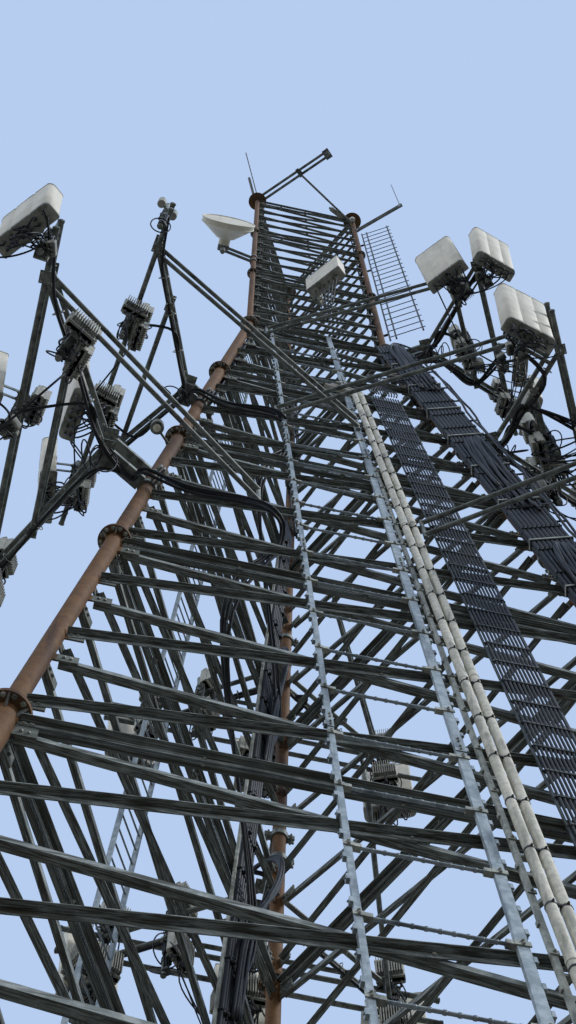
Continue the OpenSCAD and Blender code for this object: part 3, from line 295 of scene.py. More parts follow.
def leg_paint(name, foot, along, tube_r, seg):
    """Flaking brown paint and rust on a leg tube, with grey zinc on the plates welded to it.

    The distance of a point from the leg's axis is the length of the cross product of the axis
    with the point seen from the foot. Past the tube it is a plate, except in the flange discs,
    which lie at whole multiples of seg along the axis.
    """
    s = Shader(name)
    seen = s.vector("SUBTRACT", s.place, tuple(foot))
    away = s.vector("LENGTH", s.vector("CROSS_PRODUCT", seen, tuple(along)))
    up = s.vector("DOT_PRODUCT", seen, tuple(along))
    to_flange = s.math("PINGPONG", up, seg / 2)
    plate = s.math("MULTIPLY", s.math("GREATER_THAN", away, tube_r + 0.002),
                   s.math("GREATER_THAN", to_flange, FLANGE_T + 0.0015))
    runs = s.noise(5.0, 5, 0.62, stretch=(1, 1, 0.13), warp=0.5)
    blotch = s.noise(13.0, 6, 0.68, warp=0.6)
    paint = s.mix(s.ramp(blotch, 0.38, 0.62), rgb(108, 78, 48), rgb(88, 62, 38))
    paint = s.mix(s.ramp(runs, 0.48, 0.68), paint, rgb(64, 44, 30))
    paint = s.mix(s.ramp(s.noise(30.0, 5, 0.7), 0.60, 0.72), paint, rgb(122, 100, 72))
    zinc = s.mix(s.ramp(blotch, 0.35, 0.65), rgb(112, 118, 114), rgb(76, 82, 79))
    zinc = s.mix(s.ramp(runs, 0.52, 0.74), zinc, rgb(84, 70, 54))
    # Painted shade: the downward faces, such as the flange undersides, turn dark brown
    colour = s.with_underside_shade(s.mix(plate, paint, zinc), 0.6, rgb(44, 36, 26))
    s.bump(s.math("ADD", s.math("MULTIPLY", blotch, 0.6), s.noise(150.0, 3, 0.6)), 0.4, 0.002)
    return s.finish(colour, 0.72, 0.1, Specular_IOR_Level=0.2)


def jacket(name):
    """Black polyethylene cable jacket: faint dust and scuffs along its length."""
    s = Shader(name)
    dust = s.ramp(s.noise(14.0, 4, 0.6, stretch=(1, 1, 0.2)), 0.48, 0.8)
    scuff = s.ramp(s.noise(90.0, 3, 0.6, stretch=(1, 1, 0.08)), 0.58, 0.75)
    shade = s.mix(dust, rgb(16, 17, 19), rgb(36, 38, 40))
    shade = s.mix(s.math("MULTIPLY", scuff, 0.4), shade, rgb(58, 60, 64))
    s.bump(s.noise(60.0, 2, 0.5), 0.15, 0.001)
    return s.finish(shade, 0.5, Specular_IOR_Level=0.2)


def cover(name, colour, shade, streak):
    """Pale glass-fibre cover: chalky, with grey rain streaks and faint moulding lines."""
    s = Shader(name)
    cloudy = s.noise(6.0, 4, 0.6)
    runs = s.noise(22.0, 4, 0.6, stretch=(1, 1, 0.07), warp=0.3)
    tone = s.mix(s.ramp(cloudy, 0.35, 0.7), rgb(*colour), rgb(*shade))
    tone = s.mix(s.math("MULTIPLY", s.ramp(runs, 0.5, 0.8), streak), tone, rgb(120, 122, 112))
    lines = s.add("ShaderNodeTexWave", {"bands_direction": "Z", "wave_profile": "SIN"},
                  Vector=s.place, Scale=14.0, Distortion=0.0).outputs["Fac"]
    s.bump(s.math("ADD", s.math("MULTIPLY", lines, 0.5), s.noise(240.0, 2, 0.5)), 0.10, 0.002)
    # Painted shade, a dull grey, on the cover's downward faces
    return s.finish(s.with_underside_shade(tone, 0.45, rgb(96, 96, 86)), 0.55, 0.0, Coat_Weight=0.1,
                    Coat_Roughness=0.4)


def make_materials():
    """A finish for every material slot in use, and one each for the legs and sides."""
    made = {name: weathered(name, *values) for name, values in WEATHERED.items()}
    made.update({name: cover(name, *values) for name, values in COVERS.items()})
    made["cable_jacket"] = jacket("cable_jacket")
    for leg, leg_name in enumerate(LEG_NAMES):
        foot, kink = leg_point(leg, 0), leg_point(leg, TAPER_H)
        for part, start, along, d, seg in (
                ("_leg_tapered", foot, unit(kink - foot), LOWER_LEG_D,
                 LEG_SLOPE_L / TAPER_SECTIONS),
                ("_leg_straight", kink, (0, 0, 1), UPPER_LEG_D, SECTION)):
            made[leg_name + part] = leg_paint(leg_name + part, start, along, d / 2, seg)
    for side_name, bearing in zip(SIDE_NAMES, SIDE_BEARING):
        zinc = brace_zinc(side_name + "_braces", bearing + 90)
        for part in ("_bracing_tapered", "_bracing_straight"):
            made[side_name + part] = zinc
    return made


def dress_nodes():
    """Gives every node of the frame its own finish, or else the finish of its slot."""
    slots = {part["node"]: part["material_slot"] for part in frame["record"]["subparts"]}
    for name, node in frame["nodes"].items():
        node.data.materials.clear()
        node.data.materials.append(MATERIALS.get(name) or MATERIALS[slots[name]])


# Light and floor

SKY = rgb(182, 205, 240)
SOFT_LIGHT, SOFT_STRENGTH = rgb(236, 241, 250), 0.70
# Lamps: name, bearing, height over the horizon, strength and spread
LAMPS = (("key", -35, 42, 2.0, 10), ("fill", 200, 25, 0.5, 40))
FLOOR_SIZE = 600.0


def make_stage():
    """A plain pale floor, a pale background and soft light from all round, stronger from above."""
    bpy.context.scene.view_settings.view_transform = "Standard"
    world = bpy.data.worlds.new("world")
    bpy.context.scene.world = world
    world.use_nodes = True
    nodes, links = world.node_tree.nodes, world.node_tree.links
    soft, seen = nodes["Background"], nodes.new("ShaderNodeBackground")
    for light, colour, strength in ((soft, SOFT_LIGHT, SOFT_STRENGTH), (seen, SKY, 1.0)):
        light.inputs["Color"].default_value = colour
        light.inputs["Strength"].default_value = strength
    rays, either = nodes.new("ShaderNodeLightPath"), nodes.new("ShaderNodeMath")
    either.operation = "MAXIMUM"
    choose = nodes.new("ShaderNodeMixShader")
    for source, socket in (
            (rays.outputs["Is Camera Ray"], either.inputs[0]),
            (rays.outputs["Is Glossy Ray"], either.inputs[1]),
            (either.outputs[0], choose.inputs[0]), (soft.outputs[0], choose.inputs[1]),
            (seen.outputs[0], choose.inputs[2]),
            (choose.outputs[0], nodes["World Output"].inputs[0])):
        links.new(source, socket)
    for name, bearing, height, strength, spread in LAMPS:
        lamp = bpy.data.lights.new(name, "SUN")
        lamp.energy = strength
        lamp.angle = math.radians(spread)
        sun = bpy.data.objects.new(name, lamp)
        sun.rotation_euler = (math.radians(90 - height), 0, math.radians(bearing + 90))
        bpy.context.scene.collection.objects.link(sun)
    size = FLOOR_SIZE
    mesh = bpy.data.meshes.new("floor")
    mesh.from_pydata([(-size, -size, 0), (size, -size, 0), (size, size, 0), (-size, size, 0)],
                     [], [(0, 1, 2, 3)])
    floor = bpy.data.objects.new("floor", mesh)
    bpy.context.scene.collection.objects.link(floor)
    ground = Shader("floor")
    speckle = ground.ramp(ground.noise(2.0, 5, 0.6), 0.3, 0.7)
    pale = ground.mix(speckle, rgb(196, 198, 200), rgb(204, 206, 208))
    camera_ray = ground.add("ShaderNodeLightPath").outputs["Is Camera Ray"]
    mesh.materials.append(ground.finish(ground.mix(camera_ray, rgb(152, 151, 147), pale), 0.9))


# Shapes, as arrays of vertices and faces


def unit(v):
    return np.asarray(v, float) / np.linalg.norm(v, axis=-1, keepdims=True)


def loft(rings):
    """Joins closed rings of points, each counter-clockwise seen from the end, and closes both ends.

    rings is an array (..., rings, points, 3). Quads join each ring to the next, and a fan about
    the mean point of the first and the last ring closes the ends. Leading axes are copies.
    """
    rings = np.asarray(rings, float)
    copies = rings.shape[:-3]
    m, k = rings.shape[-3:-1]
    ends = rings[..., [0, -1], :, :].mean(axis=-2)
    verts = np.concatenate([rings.reshape(*copies, m * k, 3), ends], axis=-2)
    i, j = np.meshgrid(np.arange(m - 1), np.arange(k), indexing="ij")
    a, b = i * k + j, i * k + (j + 1) % k
    quads = np.stack([a, b, b + k, a + k], axis=-1).reshape(-1, 4)
    j = np.arange(k)
    low = np.stack([np.full(k, m * k), (j + 1) % k, j], axis=-1)
    high = np.stack([np.full(k, m * k + 1), (m - 1) * k + j, (m - 1) * k + (j + 1) % k], axis=-1)
    return verts, quads, np.concatenate([low, high])


def lathe(profile, sides):
    """Turns rows of (radius, height), which rise, about the z axis."""
    profile = np.asarray(profile, float)
    a = np.arange(sides) * 2 * np.pi / sides
    circle = np.stack([np.cos(a), np.sin(a), 0 * a], axis=-1)
    return loft(profile[:, None, :1] * circle + profile[:, None, 1:] * np.array([0, 0, 1]))


def block(size, centre=(0, 0, 0), bevel=0.002):
    """A box with chamfered edges: four rings of an eight-sided rectangle along z."""
    w, d, h = np.asarray(size, float) / 2
    b = min(bevel, 0.45 * min(w, d, h))
    x = np.array([w, w, w - b, b - w, -w, -w, b - w, w - b])
    y = np.array([b - d, d - b, d, d, d - b, b - d, -d, -d])
    ring = np.stack([x, y, 0 * x], axis=-1)
    small = ring * np.array([(w - b) / w, (d - b) / d, 1])
    rings = [small - h * UP, ring - (h - b) * UP, ring + (h - b) * UP, small + h * UP]
    return loft(np.array(rings) + np.asarray(centre, float))


def bar(size, centre=(0, 0, 0)):
    """A box with sharp edges, for small parts that repeat hundreds of times."""
    half = np.asarray(size, float) / 2
    ring = np.array([[1, -1, 0], [1, 1, 0], [-1, 1, 0], [-1, -1, 0]])
    ends = np.array([[[0, 0, -1]], [[0, 0, 1]]])
    return loft((ring + ends) * half + np.asarray(centre, float))


def tubes(paths, r, sides=5):
    """Round tubes along paths (..., points, 3). The circle's first direction is carried from point
    to point by taking off its part along the tangent."""
    paths = np.asarray(paths, float)
    tangent = np.gradient(paths, axis=-2)
    tangent /= np.linalg.norm(tangent, axis=-1, keepdims=True)
    side = np.zeros_like(tangent)
    helper = np.where(np.abs(tangent[..., 0, 2:]) < 0.8, [0, 0, 1.0], [1.0, 0, 0])
    last = np.cross(tangent[..., 0, :], helper)
    for i in range(paths.shape[-2]):
        last = last - (last * tangent[..., i, :]).sum(-1, keepdims=True) * tangent[..., i, :]
        last = last / np.linalg.norm(last, axis=-1, keepdims=True)
        side[..., i, :] = last
    other = np.cross(tangent, side)
    a = np.arange(sides) * 2 * np.pi / sides
    r = np.asarray(r, float).reshape(np.shape(r) + (1,) * (paths.ndim - np.ndim(r) + 1))
    rings = (paths[..., None, :] + r * (np.cos(a)[:, None] * side[..., None, :]
                                        + np.sin(a)[:, None] * other[..., None, :]))
    return loft(rings)


def bezier(p, q, leave, arrive, points=17):
    """Cubic arcs from p to q that leave along one vector and arrive along another."""
    p, q, leave, arrive = np.broadcast_arrays(p, q, leave, arrive)
    t = np.linspace(0, 1, points)[:, None]
    a, b, c, d = (v[..., None, :] for v in (p, p + leave, q - arrive, q))
    return (1 - t) ** 3 * a + 3 * t * (1 - t) ** 2 * b + 3 * t * t * (1 - t) * c + t ** 3 * d


def through(stations, per=7):
    """A smooth path through stations (..., n, 3): Catmull-Rom arcs, with per points to each."""
    s = np.asarray(stations, float)
    s = np.concatenate([2 * s[..., :1, :] - s[..., 1:2, :], s,
                        2 * s[..., -1:, :] - s[..., -2:-1, :]], axis=-2)
    t = (np.arange(per) / per)[:, None]
    a, b, c, d = (s[..., i:s.shape[-2] - 3 + i, None, :] for i in range(4))
    arcs = 0.5 * (2 * b + (c - a) * t + (2 * a - 5 * b + 4 * c - d) * t ** 2
                  + (3 * b - a - 3 * c + d) * t ** 3)
    flat = arcs.reshape(*arcs.shape[:-3], -1, 3)
    return np.concatenate([flat, s[..., -2:-1, :]], axis=-2)


def circle(count, x, y):
    """Points round a circle, given by its two half axes."""
    a = np.linspace(0, 2 * np.pi, count)[:, None]
    return np.cos(a) * x + np.sin(a) * y


class Piece:
    """Gathers many shapes into one piece that rides on the tower."""

    def __init__(self, name, slot, smooth=False):
        self.name, self.slot, self.smooth = name, slot, smooth
        self.verts, self.quads, self.tris, self.count = [], [], [], 0

    def add(self, shape):
        """Adds a shape, or copies of it along the leading axes of its vertices."""
        verts, quads, tris = shape
        copies = verts.reshape(-1, verts.shape[-2], 3)
        offsets = self.count + np.arange(len(copies))[:, None, None] * copies.shape[1]
        self.verts.append(copies.reshape(-1, 3))
        self.quads.append((quads[None] + offsets).reshape(-1, 4))
        self.tris.append((tris[None] + offsets).reshape(-1, 3))
        self.count += len(copies) * copies.shape[1]

    def put(self, shape, at, x, z):
        """Adds copies of a shape at points, with its x and z axes along the given directions."""
        verts, quads, tris = shape
        at, x, z = np.broadcast_arrays(np.atleast_2d(np.asarray(at, float)), x, z)
        z = unit(z)
        y = unit(np.cross(z, x))
        x = np.cross(y, z)
        turned = np.einsum("ka,nab->nkb", verts, np.stack([x, y, z], axis=1)) + at[:, None, :]
        self.add((turned, quads, tris))

    def make(self):
        """Puts the mesh into an object at the origin, with its finish, slot and body."""
        verts = np.concatenate(self.verts)
        quads, tris = np.concatenate(self.quads), np.concatenate(self.tris)
        mesh = bpy.data.meshes.new(self.name)
        mesh.vertices.add(len(verts))
        mesh.vertices.foreach_set("co", verts.astype(np.float32).ravel())
        mesh.loops.add(quads.size + tris.size)
        mesh.loops.foreach_set("vertex_index", np.concatenate([quads.ravel(), tris.ravel()]))
        starts = np.concatenate([np.arange(len(quads)) * 4, quads.size + np.arange(len(tris)) * 3])
        mesh.polygons.add(len(starts))
        mesh.polygons.foreach_set("loop_start", starts)
        mesh.update(calc_edges=True)
        mesh.polygons.foreach_set("use_smooth", np.full(len(starts), self.smooth))
        mesh.materials.append(MATERIALS[self.slot])
        piece = bpy.data.objects.new(self.name, mesh)
        bpy.context.scene.collection.objects.link(piece)
        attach(piece, "root")
        return piece


# Bolts


def bolt_head(r, h):
    """A washer with a six-sided chamfered head on it."""
    return lathe([(1.35 * r, 0), (1.35 * r, 0.22 * h), (r, 0.22 * h), (0.9 * r, 1.1 * h)], 6)


def nut(r, h):
    """A washer, a nut and the end of the bolt that stands out of it."""
    return lathe([(1.35 * r, 0), (1.35 * r, 0.2 * h), (r, 0.2 * h), (r, h), (0.5 * r, 1.6 * h)], 6)


def half_w(v, straight=False):
    """Half the width of a side, between leg centres, at a distance up it."""
    return np.full(np.shape(v), TOP_W / 2) if straight \
        else (BASE_W - (BASE_W - TOP_W) * np.asarray(v) / SIDE_SLOPE_L) / 2


def side_axes(side, straight=False):
    """A side's middle at its foot, and its directions across, up and out."""
    out, across = direction(SIDE_BEARING[side]), direction(SIDE_BEARING[side] + 90)
    if straight:
        return np.array([0, -BASE_R, PLATE_T + TAPER_H]) + TOP_R / 2 * out, across, UP, out
    foot = np.array([0, -BASE_R, PLATE_T]) + BASE_R / 2 * out
    c, s = math.cos(SIDE_LEAN), math.sin(SIDE_LEAN)
    return foot, across, c * UP - s * out, s * UP + c * out


def on_side(side, u, v, n, straight=False):
    """Points of a side from their distances across, up and out."""
    foot, across, up, out = side_axes(side, straight)
    u, v, n = (np.asarray(a, float)[..., None] for a in np.broadcast_arrays(u, v, n))
    return foot + u * across + v * up + n * out


def braces(straight):
    """Both ends of the crossing braces and horizontals of a side, as rows of (u, v), with the face
    that each lies on (1 outside, -1 inside), the leg diameter and the ends' heights."""
    if straight:
        i = np.arange(STRAIGHT_BAYS * STRAIGHT_SECTIONS)
        low = i * STRAIGHT_BAY + STRAIGHT_OFFSET
        top = (i + 1) % STRAIGHT_BAYS == 0
        high = (i + 1) * STRAIGHT_BAY - STRAIGHT_OFFSET - top * HORIZONTAL_DROP / 2
        level = np.arange(1, STRAIGHT_SECTIONS + 1) * SECTION - STRAIGHT_OFFSET
    else:
        i = np.arange(TAPER_BAYS * TAPER_SECTIONS)
        low, high = i * TAPER_BAY + TAPER_OFFSET, (i + 1) * TAPER_BAY - TAPER_OFFSET
        level = np.arange(1, TAPER_SECTIONS + 1) * SECTION / math.cos(SIDE_LEAN) - HORIZONTAL_DROP
    rows = []
    for out in (1, -1):
        rows.append((-out * half_w(low, straight), low, out * half_w(high, straight), high, out))
        rows.append((-half_w(level, straight), level, half_w(level, straight), level, out))
    p = np.concatenate([np.stack(r[:2], -1) for r in rows])
    q = np.concatenate([np.stack(r[2:4], -1) for r in rows])
    out = np.concatenate([np.full(len(r[0]), r[4]) for r in rows])
    if straight:
        leg_d = np.full(len(p), UPPER_LEG_D)
    else:
        leg_d = np.where(p[:, 1] * math.cos(SIDE_LEAN) < LOWER_SECTIONS * SECTION, LOWER_LEG_D,
                         MIDDLE_LEG_D)
    return p, q, out, leg_d, low, high


def brace_bolts():
    """Two bolts in each end of every brace and one where two cross or are stitched together."""
    piece = Piece("brace_bolts", "support_steel")
    for straight, w, r in ((False, TAPER_ANGLE_W, 0.0085), (True, STRAIGHT_ANGLE_W, 0.0062)):
        p, q, out, leg_d, low, high = braces(straight)
        clear = leg_d / 2 + END_GAP
        inner = math.sqrt(3) * (GUSSET_T / 2 + w + SEAT)
        clear = np.where(out < 0, np.maximum(clear, inner), clear)
        along = unit(q - p)
        spots, faces = [], []
        for step in (0.38 * w, 1.15 * w):
            spots += [p + along * (clear + step)[:, None], q - along * (clear + step)[:, None]]
            faces += [out, out]
        ends = sum(len(f) for f in faces)
        a = half_w(low, straight)
        share = a / (a + half_w(high, straight))
        spots.append(np.stack([0 * low, low + (high - low) * share], -1))
        faces.append(np.ones(len(low)))
        level = np.unique(p[p[:, 1] == q[:, 1], 1])
        for s in (-0.5, 0, 0.5):
            spots.append(np.stack([s * half_w(level, straight), level], -1))
            faces.append(np.ones(len(level)))
        (u, v), faces = np.concatenate(spots).T, np.concatenate(faces)
        back = np.where(np.arange(len(faces)) < ends, GUSSET_T / 2, GUSSET_T / 2 + ANGLE_T)
        for side in range(3):
            across, _, out = side_axes(side, straight)[1:]
            for shape, n, turn in ((bolt_head(r, 0.7 * r), GUSSET_T / 2 + ANGLE_T, 1),
                                   (nut(r, 0.8 * r), back, -1)):
                piece.put(shape, on_side(side, u, v, turn * faces * n, straight), across,
                          turn * faces[:, None] * out)
    piece.make()


# Flanges, as their diameter and their bolts' radius
LOWER_FLANGE, MIDDLE_FLANGE, UPPER_FLANGE = (0.2, 0.0095), (0.17, 0.0095), (0.116, 0.0062)
KINK_FLANGE, FLANGE_BOLTS = (0.17, 0.0085), 12
ANCHORS, ANCHOR_RING_R = 8, 0.17


def flange_bolts():
    """Twelve bolts between the ribs of every flange, and the nuts on the anchor bolts."""
    piece = Piece("flange_bolts", "support_steel")
    for leg in range(3):
        foot, kink = leg_point(leg, 0), leg_point(leg, TAPER_H)
        lean = unit(kink - foot)
        x = direction(LEG_BEARING[leg])
        # Middle, axis, flange and bolt, and the thickness below and above the middle
        rows = [(foot + lean * LEG_SLOPE_L * i / TAPER_SECTIONS, lean,
                 LOWER_FLANGE if i <= LOWER_SECTIONS else MIDDLE_FLANGE, FLANGE_T, FLANGE_T)
                for i in range(1, TAPER_SECTIONS)]
        rows += [(kink, UP, KINK_FLANGE, 1.5 * FLANGE_T, FLANGE_T)]
        rows += [(kink + i * SECTION * UP, UP, UPPER_FLANGE, FLANGE_T, FLANGE_T)
                 for i in range(1, STRAIGHT_SECTIONS)]
        rows += [(foot, UP, LOWER_FLANGE, 0, 1.5 * FLANGE_T)]
        for at, axis, (flange_d, r), below, above in rows:
            y = unit(np.cross(axis, x))
            ring_x = np.cross(y, axis)
            a = np.radians((np.arange(FLANGE_BOLTS) + 0.5) * 360 / FLANGE_BOLTS)[:, None]
            out = np.cos(a) * ring_x + np.sin(a) * y
            spots = at + out * (flange_d / 2 - 1.75 * r)
            if below:
                piece.put(bolt_head(r, 0.8 * r), spots - axis * below, out, -axis)
            piece.put(nut(r, 0.9 * r), spots + axis * above, out, axis)
        a = np.radians((np.arange(ANCHORS) + 0.5) * 360 / ANCHORS)[:, None]
        spots = foot + ANCHOR_RING_R * np.hstack([np.cos(a), np.sin(a), 0 * a])
        piece.put(nut(0.017, 0.018), spots, x, UP)
        piece.put(lathe([(0.0105, 0.002), (0.0105, PLATE_T)], 8), spots - PLATE_T * UP, x, UP)
    piece.make()


# Ladders and cable runs

STRAP_STEP, HANGER_STEP, TIE_STEP, CLIP_STEP = 0.5, 0.508, 1.016, 0.305


class Run:
    """A run of rails or cables up the front side, which leans to the left about its foot."""

    def __init__(self, foot_u, lean):
        across, up, self.out = side_axes(0)[1:]
        self.foot_u, a = foot_u, math.radians(lean)
        self.c, self.s = math.cos(a), math.sin(a)
        self.across, self.up = across * self.c + up * self.s, up * self.c - across * self.s

    def at(self, u, v, n):
        """Points from their distances across, up and out of the run."""
        u, v = np.asarray(u, float), np.asarray(v, float)
        return on_side(0, self.foot_u + u * self.c - v * self.s, u * self.s + v * self.c, n)

    def place(self, piece, shape, u, v, n):
        """Puts copies of a shape on the run, with x across it and z out of it."""
        piece.put(shape, self.at(u, v, n), self.across, self.out)


def front_ladder_fittings():
    """Bolted clamps on both ends of each rung, clips between them, splices and rungs' grips."""
    clamps = Piece("front_ladder_clamps", "support_steel")
    clips = Piece("front_ladder_clips", "ladder_zinc")
    run = Run(LADDER_U, LADDER_LEAN)
    rungs = np.arange(0.150 + LADDER_PITCH / 2, SIDE_SLOPE_L - 0.2 - LADDER_PITCH / 4, LADDER_PITCH)
    splices = np.arange(3.6, 20.0, SECTION)
    middle, face = TAPER_FACE + 0.009, TAPER_FACE + 0.020
    for s, rail in ((-1, 0.024), (1, 0.042)):
        u = s * LADDER_W / 2
        run.place(clamps, bar((0.036, 0.030, 0.024)), u - s * (rail / 2 + 0.016), rungs, middle)
        run.place(clamps, bar((rail + 0.014, 0.034, 0.005)), u, rungs, face + 0.0005)
        for dv in (-0.011, 0.011):
            run.place(clamps, nut(0.006, 0.006), u, rungs + dv, face + 0.003)
        for share in (-0.32, 0.0, 0.32):
            v = rungs[:-1] + LADDER_PITCH * (0.5 + share)
            run.place(clips, bar((0.012, 0.040, 0.022)), u + s * (rail / 2 + 0.006), v, middle)
            clips.put(nut(0.005, 0.004), run.at(u + s * (rail / 2 + 0.012), v, middle), run.out,
                      s * run.across)
        run.place(clips, block((rail + 0.004, 0.17, 0.004)), u, splices, face)
        for dv in (-0.065, -0.03, 0.03, 0.065):
            run.place(clamps, nut(0.005, 0.005), u, splices + dv, face + 0.002)
    grip = lathe([(0.0088, -0.006), (0.0098, -0.003), (0.0098, 0.003), (0.0088, 0.006)], 8)
    for step in np.arange(-4, 5) * 0.045:
        clips.put(grip, run.at(step, rungs, middle), run.up, run.across)
    clamps.make()
    clips.make()


def conduit_straps():
    """A dark band round each conduit and a saddle between them every half metre."""
    straps = Piece("conduit_straps", "cable_ladder_steel")
    clamps = Piece("conduit_rail_clamps", "support_steel")
    run = Run(CONDUIT_U, CONDUIT_LEAN)
    v = np.arange(0.037, SIDE_SLOPE_L - CONDUIT_DROP - 0.1, STRAP_STEP)
    r = CONDUIT_D / 2
    band = lathe([(r - 0.002, -0.008), (r + 0.0025, -0.006), (r + 0.0025, 0.006),
                  (r - 0.002, 0.008)], 14)
    face = TAPER_FACE + STRUT_T
    middle = face + SEAT + r
    for u in (0, CONDUIT_PITCH):
        straps.put(band, run.at(u, v, middle), run.across, run.up)
        run.place(straps, nut(0.005, 0.006), u, v, middle + r + 0.002)
    run.place(straps, block((0.018, 0.016, 0.010)), CONDUIT_PITCH / 2, v, middle + 0.012)
    rail = np.arange(0.7, SIDE_SLOPE_L - CONDUIT_DROP - 2.8, STRAP_STEP)
    run.place(clamps, block((0.034, 0.030, 0.006)), -0.038, rail, face + 0.003)
    run.place(clamps, nut(0.006, 0.007), -0.038, rail, face + 0.005)
    run.place(clamps, block((0.009, 0.036, 0.018)), -0.052, rail + STRAP_STEP / 2,
              TAPER_FACE + 0.010)
    straps.make()
    clamps.make()


LADDER_CABLES_U = (np.arange(11) / 10 - 0.5) * (CABLE_LADDER_W - 0.026)


def cable_ladder_clips():
    """A hanger clip on every cable at each second rung, and bolts on the rails."""
    piece = Piece("cable_ladder_clips", "cable_ladder_steel")
    run = Run(CABLE_LADDER_U, CABLE_LADDER_LEAN)
    v = np.arange(0.3 + CLIP_STEP / 2, SIDE_SLOPE_L - CABLE_LADDER_DROP - 0.1, CLIP_STEP)
    uu, vv = np.meshgrid(LADDER_CABLES_U, v)
    run.place(piece, bar((0.016, 0.020, 0.018)), uu.ravel(), vv.ravel(),
              TAPER_FACE + 0.0145 + SEAT)
    for s in (-1, 1):
        run.place(piece, nut(0.005, 0.005), s * CABLE_LADDER_W / 2, v, TAPER_FACE + 0.010)
    piece.make()


def coax_axes():
    """Foot, directions across, out and up of the trunk cables on the right leg."""
    foot, kink = leg_point(RIGHT, 0), leg_point(RIGHT, TAPER_H)
    up = unit(kink - foot)
    y = unit(np.cross(up, direction(LEG_BEARING[RIGHT])))
    a = math.radians(COAX_BEARING)
    out = np.cross(y, up) * math.cos(a) + y * math.sin(a)
    return foot, np.cross(up, out), out, up


def trunk_fittings():
    """Bolts and snap-in hangers on the trunk cables of the right leg, with cable ties between, and
    two loose cables along their side."""
    dark = Piece("trunk_hangers", "cable_ladder_steel")
    ties = Piece("trunk_ties", "cable_jacket")
    foot, across, out, up = coax_axes()
    i = (np.arange(COAX_COLUMNS) - (COAX_COLUMNS - 1) / 2) * COAX_PITCH
    for row, drop in enumerate(COAX_DROPS):
        ii, vv = np.meshgrid(i, np.arange(0.35, LEG_SLOPE_L - drop - 0.1, HANGER_STEP))
        at = foot + ii.ravel()[:, None] * across + vv.ravel()[:, None] * up \
            + (COAX_STAND + COAX_D / 2 + row * COAX_PITCH) * out
        dark.put(bar((0.022, 0.026, 0.020), (0.006, 0, 0)), at, out, up)
        dark.put(nut(0.0045, 0.006), at + out * 0.017, up, out)
    v = np.arange(0.55, LEG_SLOPE_L - COAX_DROPS[0] - 0.3, TIE_STEP)
    half = COAX_COLUMNS * COAX_PITCH / 2
    ties.put(block((COAX_D + COAX_PITCH + 0.006, 2 * half + 0.006, 0.012), (0, 0, 0), 0.004),
             foot + v[:, None] * up + (COAX_STAND + (COAX_D + COAX_PITCH) / 2) * out, out, up)
    for k, (shift, stand) in enumerate(((half + 0.03, 0.055), (half + 0.062, 0.035))):
        v = np.linspace(0.05, LEG_SLOPE_L - 1.4 - 0.5 * k, 60)
        wander = 0.012 * np.sin(v * 2.1 + k) + 0.008 * np.sin(v * 5.3 + 2 * k)
        line = foot + v[:, None] * up + (COAX_STAND + stand) * out
        ties.add(tubes(line + (shift + wander)[:, None] * across, 0.0085, 8))
        dark.put(block((0.012, 0.05 + 0.03 * k, 0.016), (0, -0.02 - 0.015 * k, 0), 0.003),
                 line[3::4] + shift * across, out, up)
    dark.make()
    ties.make()


def inner_run_ties():
    """Knotted ties round the inner cables every half metre, standing proud of them."""
    piece = Piece("inner_run_ties", "cable_jacket")
    across, up, out = side_axes(2)[1:]
    v = np.arange(0.35, SIDE_SLOPE_L - INNER_COAX_DROP, HANGER_STEP)
    n = -(TAPER_FACE + 0.013 + SEAT + COAX_D / 2)
    piece.put(block((6 * COAX_PITCH + 0.008, COAX_D + 0.008, 0.014), (0, 0, 0), 0.004),
              on_side(2, -INNER_COAX_U, v, n), across, up)
    for u in (-0.05 - INNER_COAX_U, 0.045 - INNER_COAX_U):
        piece.put(lathe([(0.004, -0.016), (0.013, -0.010), (0.013, 0.010), (0.004, 0.016)], 8),
                  on_side(2, u, v, n - 0.020), up, -out)
        piece.add(tubes(bezier(on_side(2, u, v, n - 0.024),
                               on_side(2, u + 0.05, v - 0.05, n - 0.035),
                               -out * 0.02 + up * 0.03, -up * 0.03, 7), 0.003))
    piece.make()


# Antenna mounts

Arms = namedtuple("Arms", "length angle low_run high_run")
Place = namedtuple("Place", "depth across bearing panel radios")
Mount = namedtuple("Mount", "name leg height bearing stand_off arms on_stubs places")

LONG, SHORT, CLOSE = 0.320, 0.205, 0.130
WIDE_ARMS = Arms(1.040, 60, 0.280, 0.280)
RIGHT_ARMS = Arms(0.850, 46, 0.280, 0.280)
TOP_ARMS = Arms(0.850, 46, 0.018, 0.280)
LOWER_H, UPPER_H, TOP_H = 13.716, 16.764, 20.828
INNER = 0.6
ARM_GAP = 0.300
ARM_D = 0.036
MAST_D = 0.034
MAST_L = 1.150
TALL_PANEL, SHORT_PANEL = 1, 2
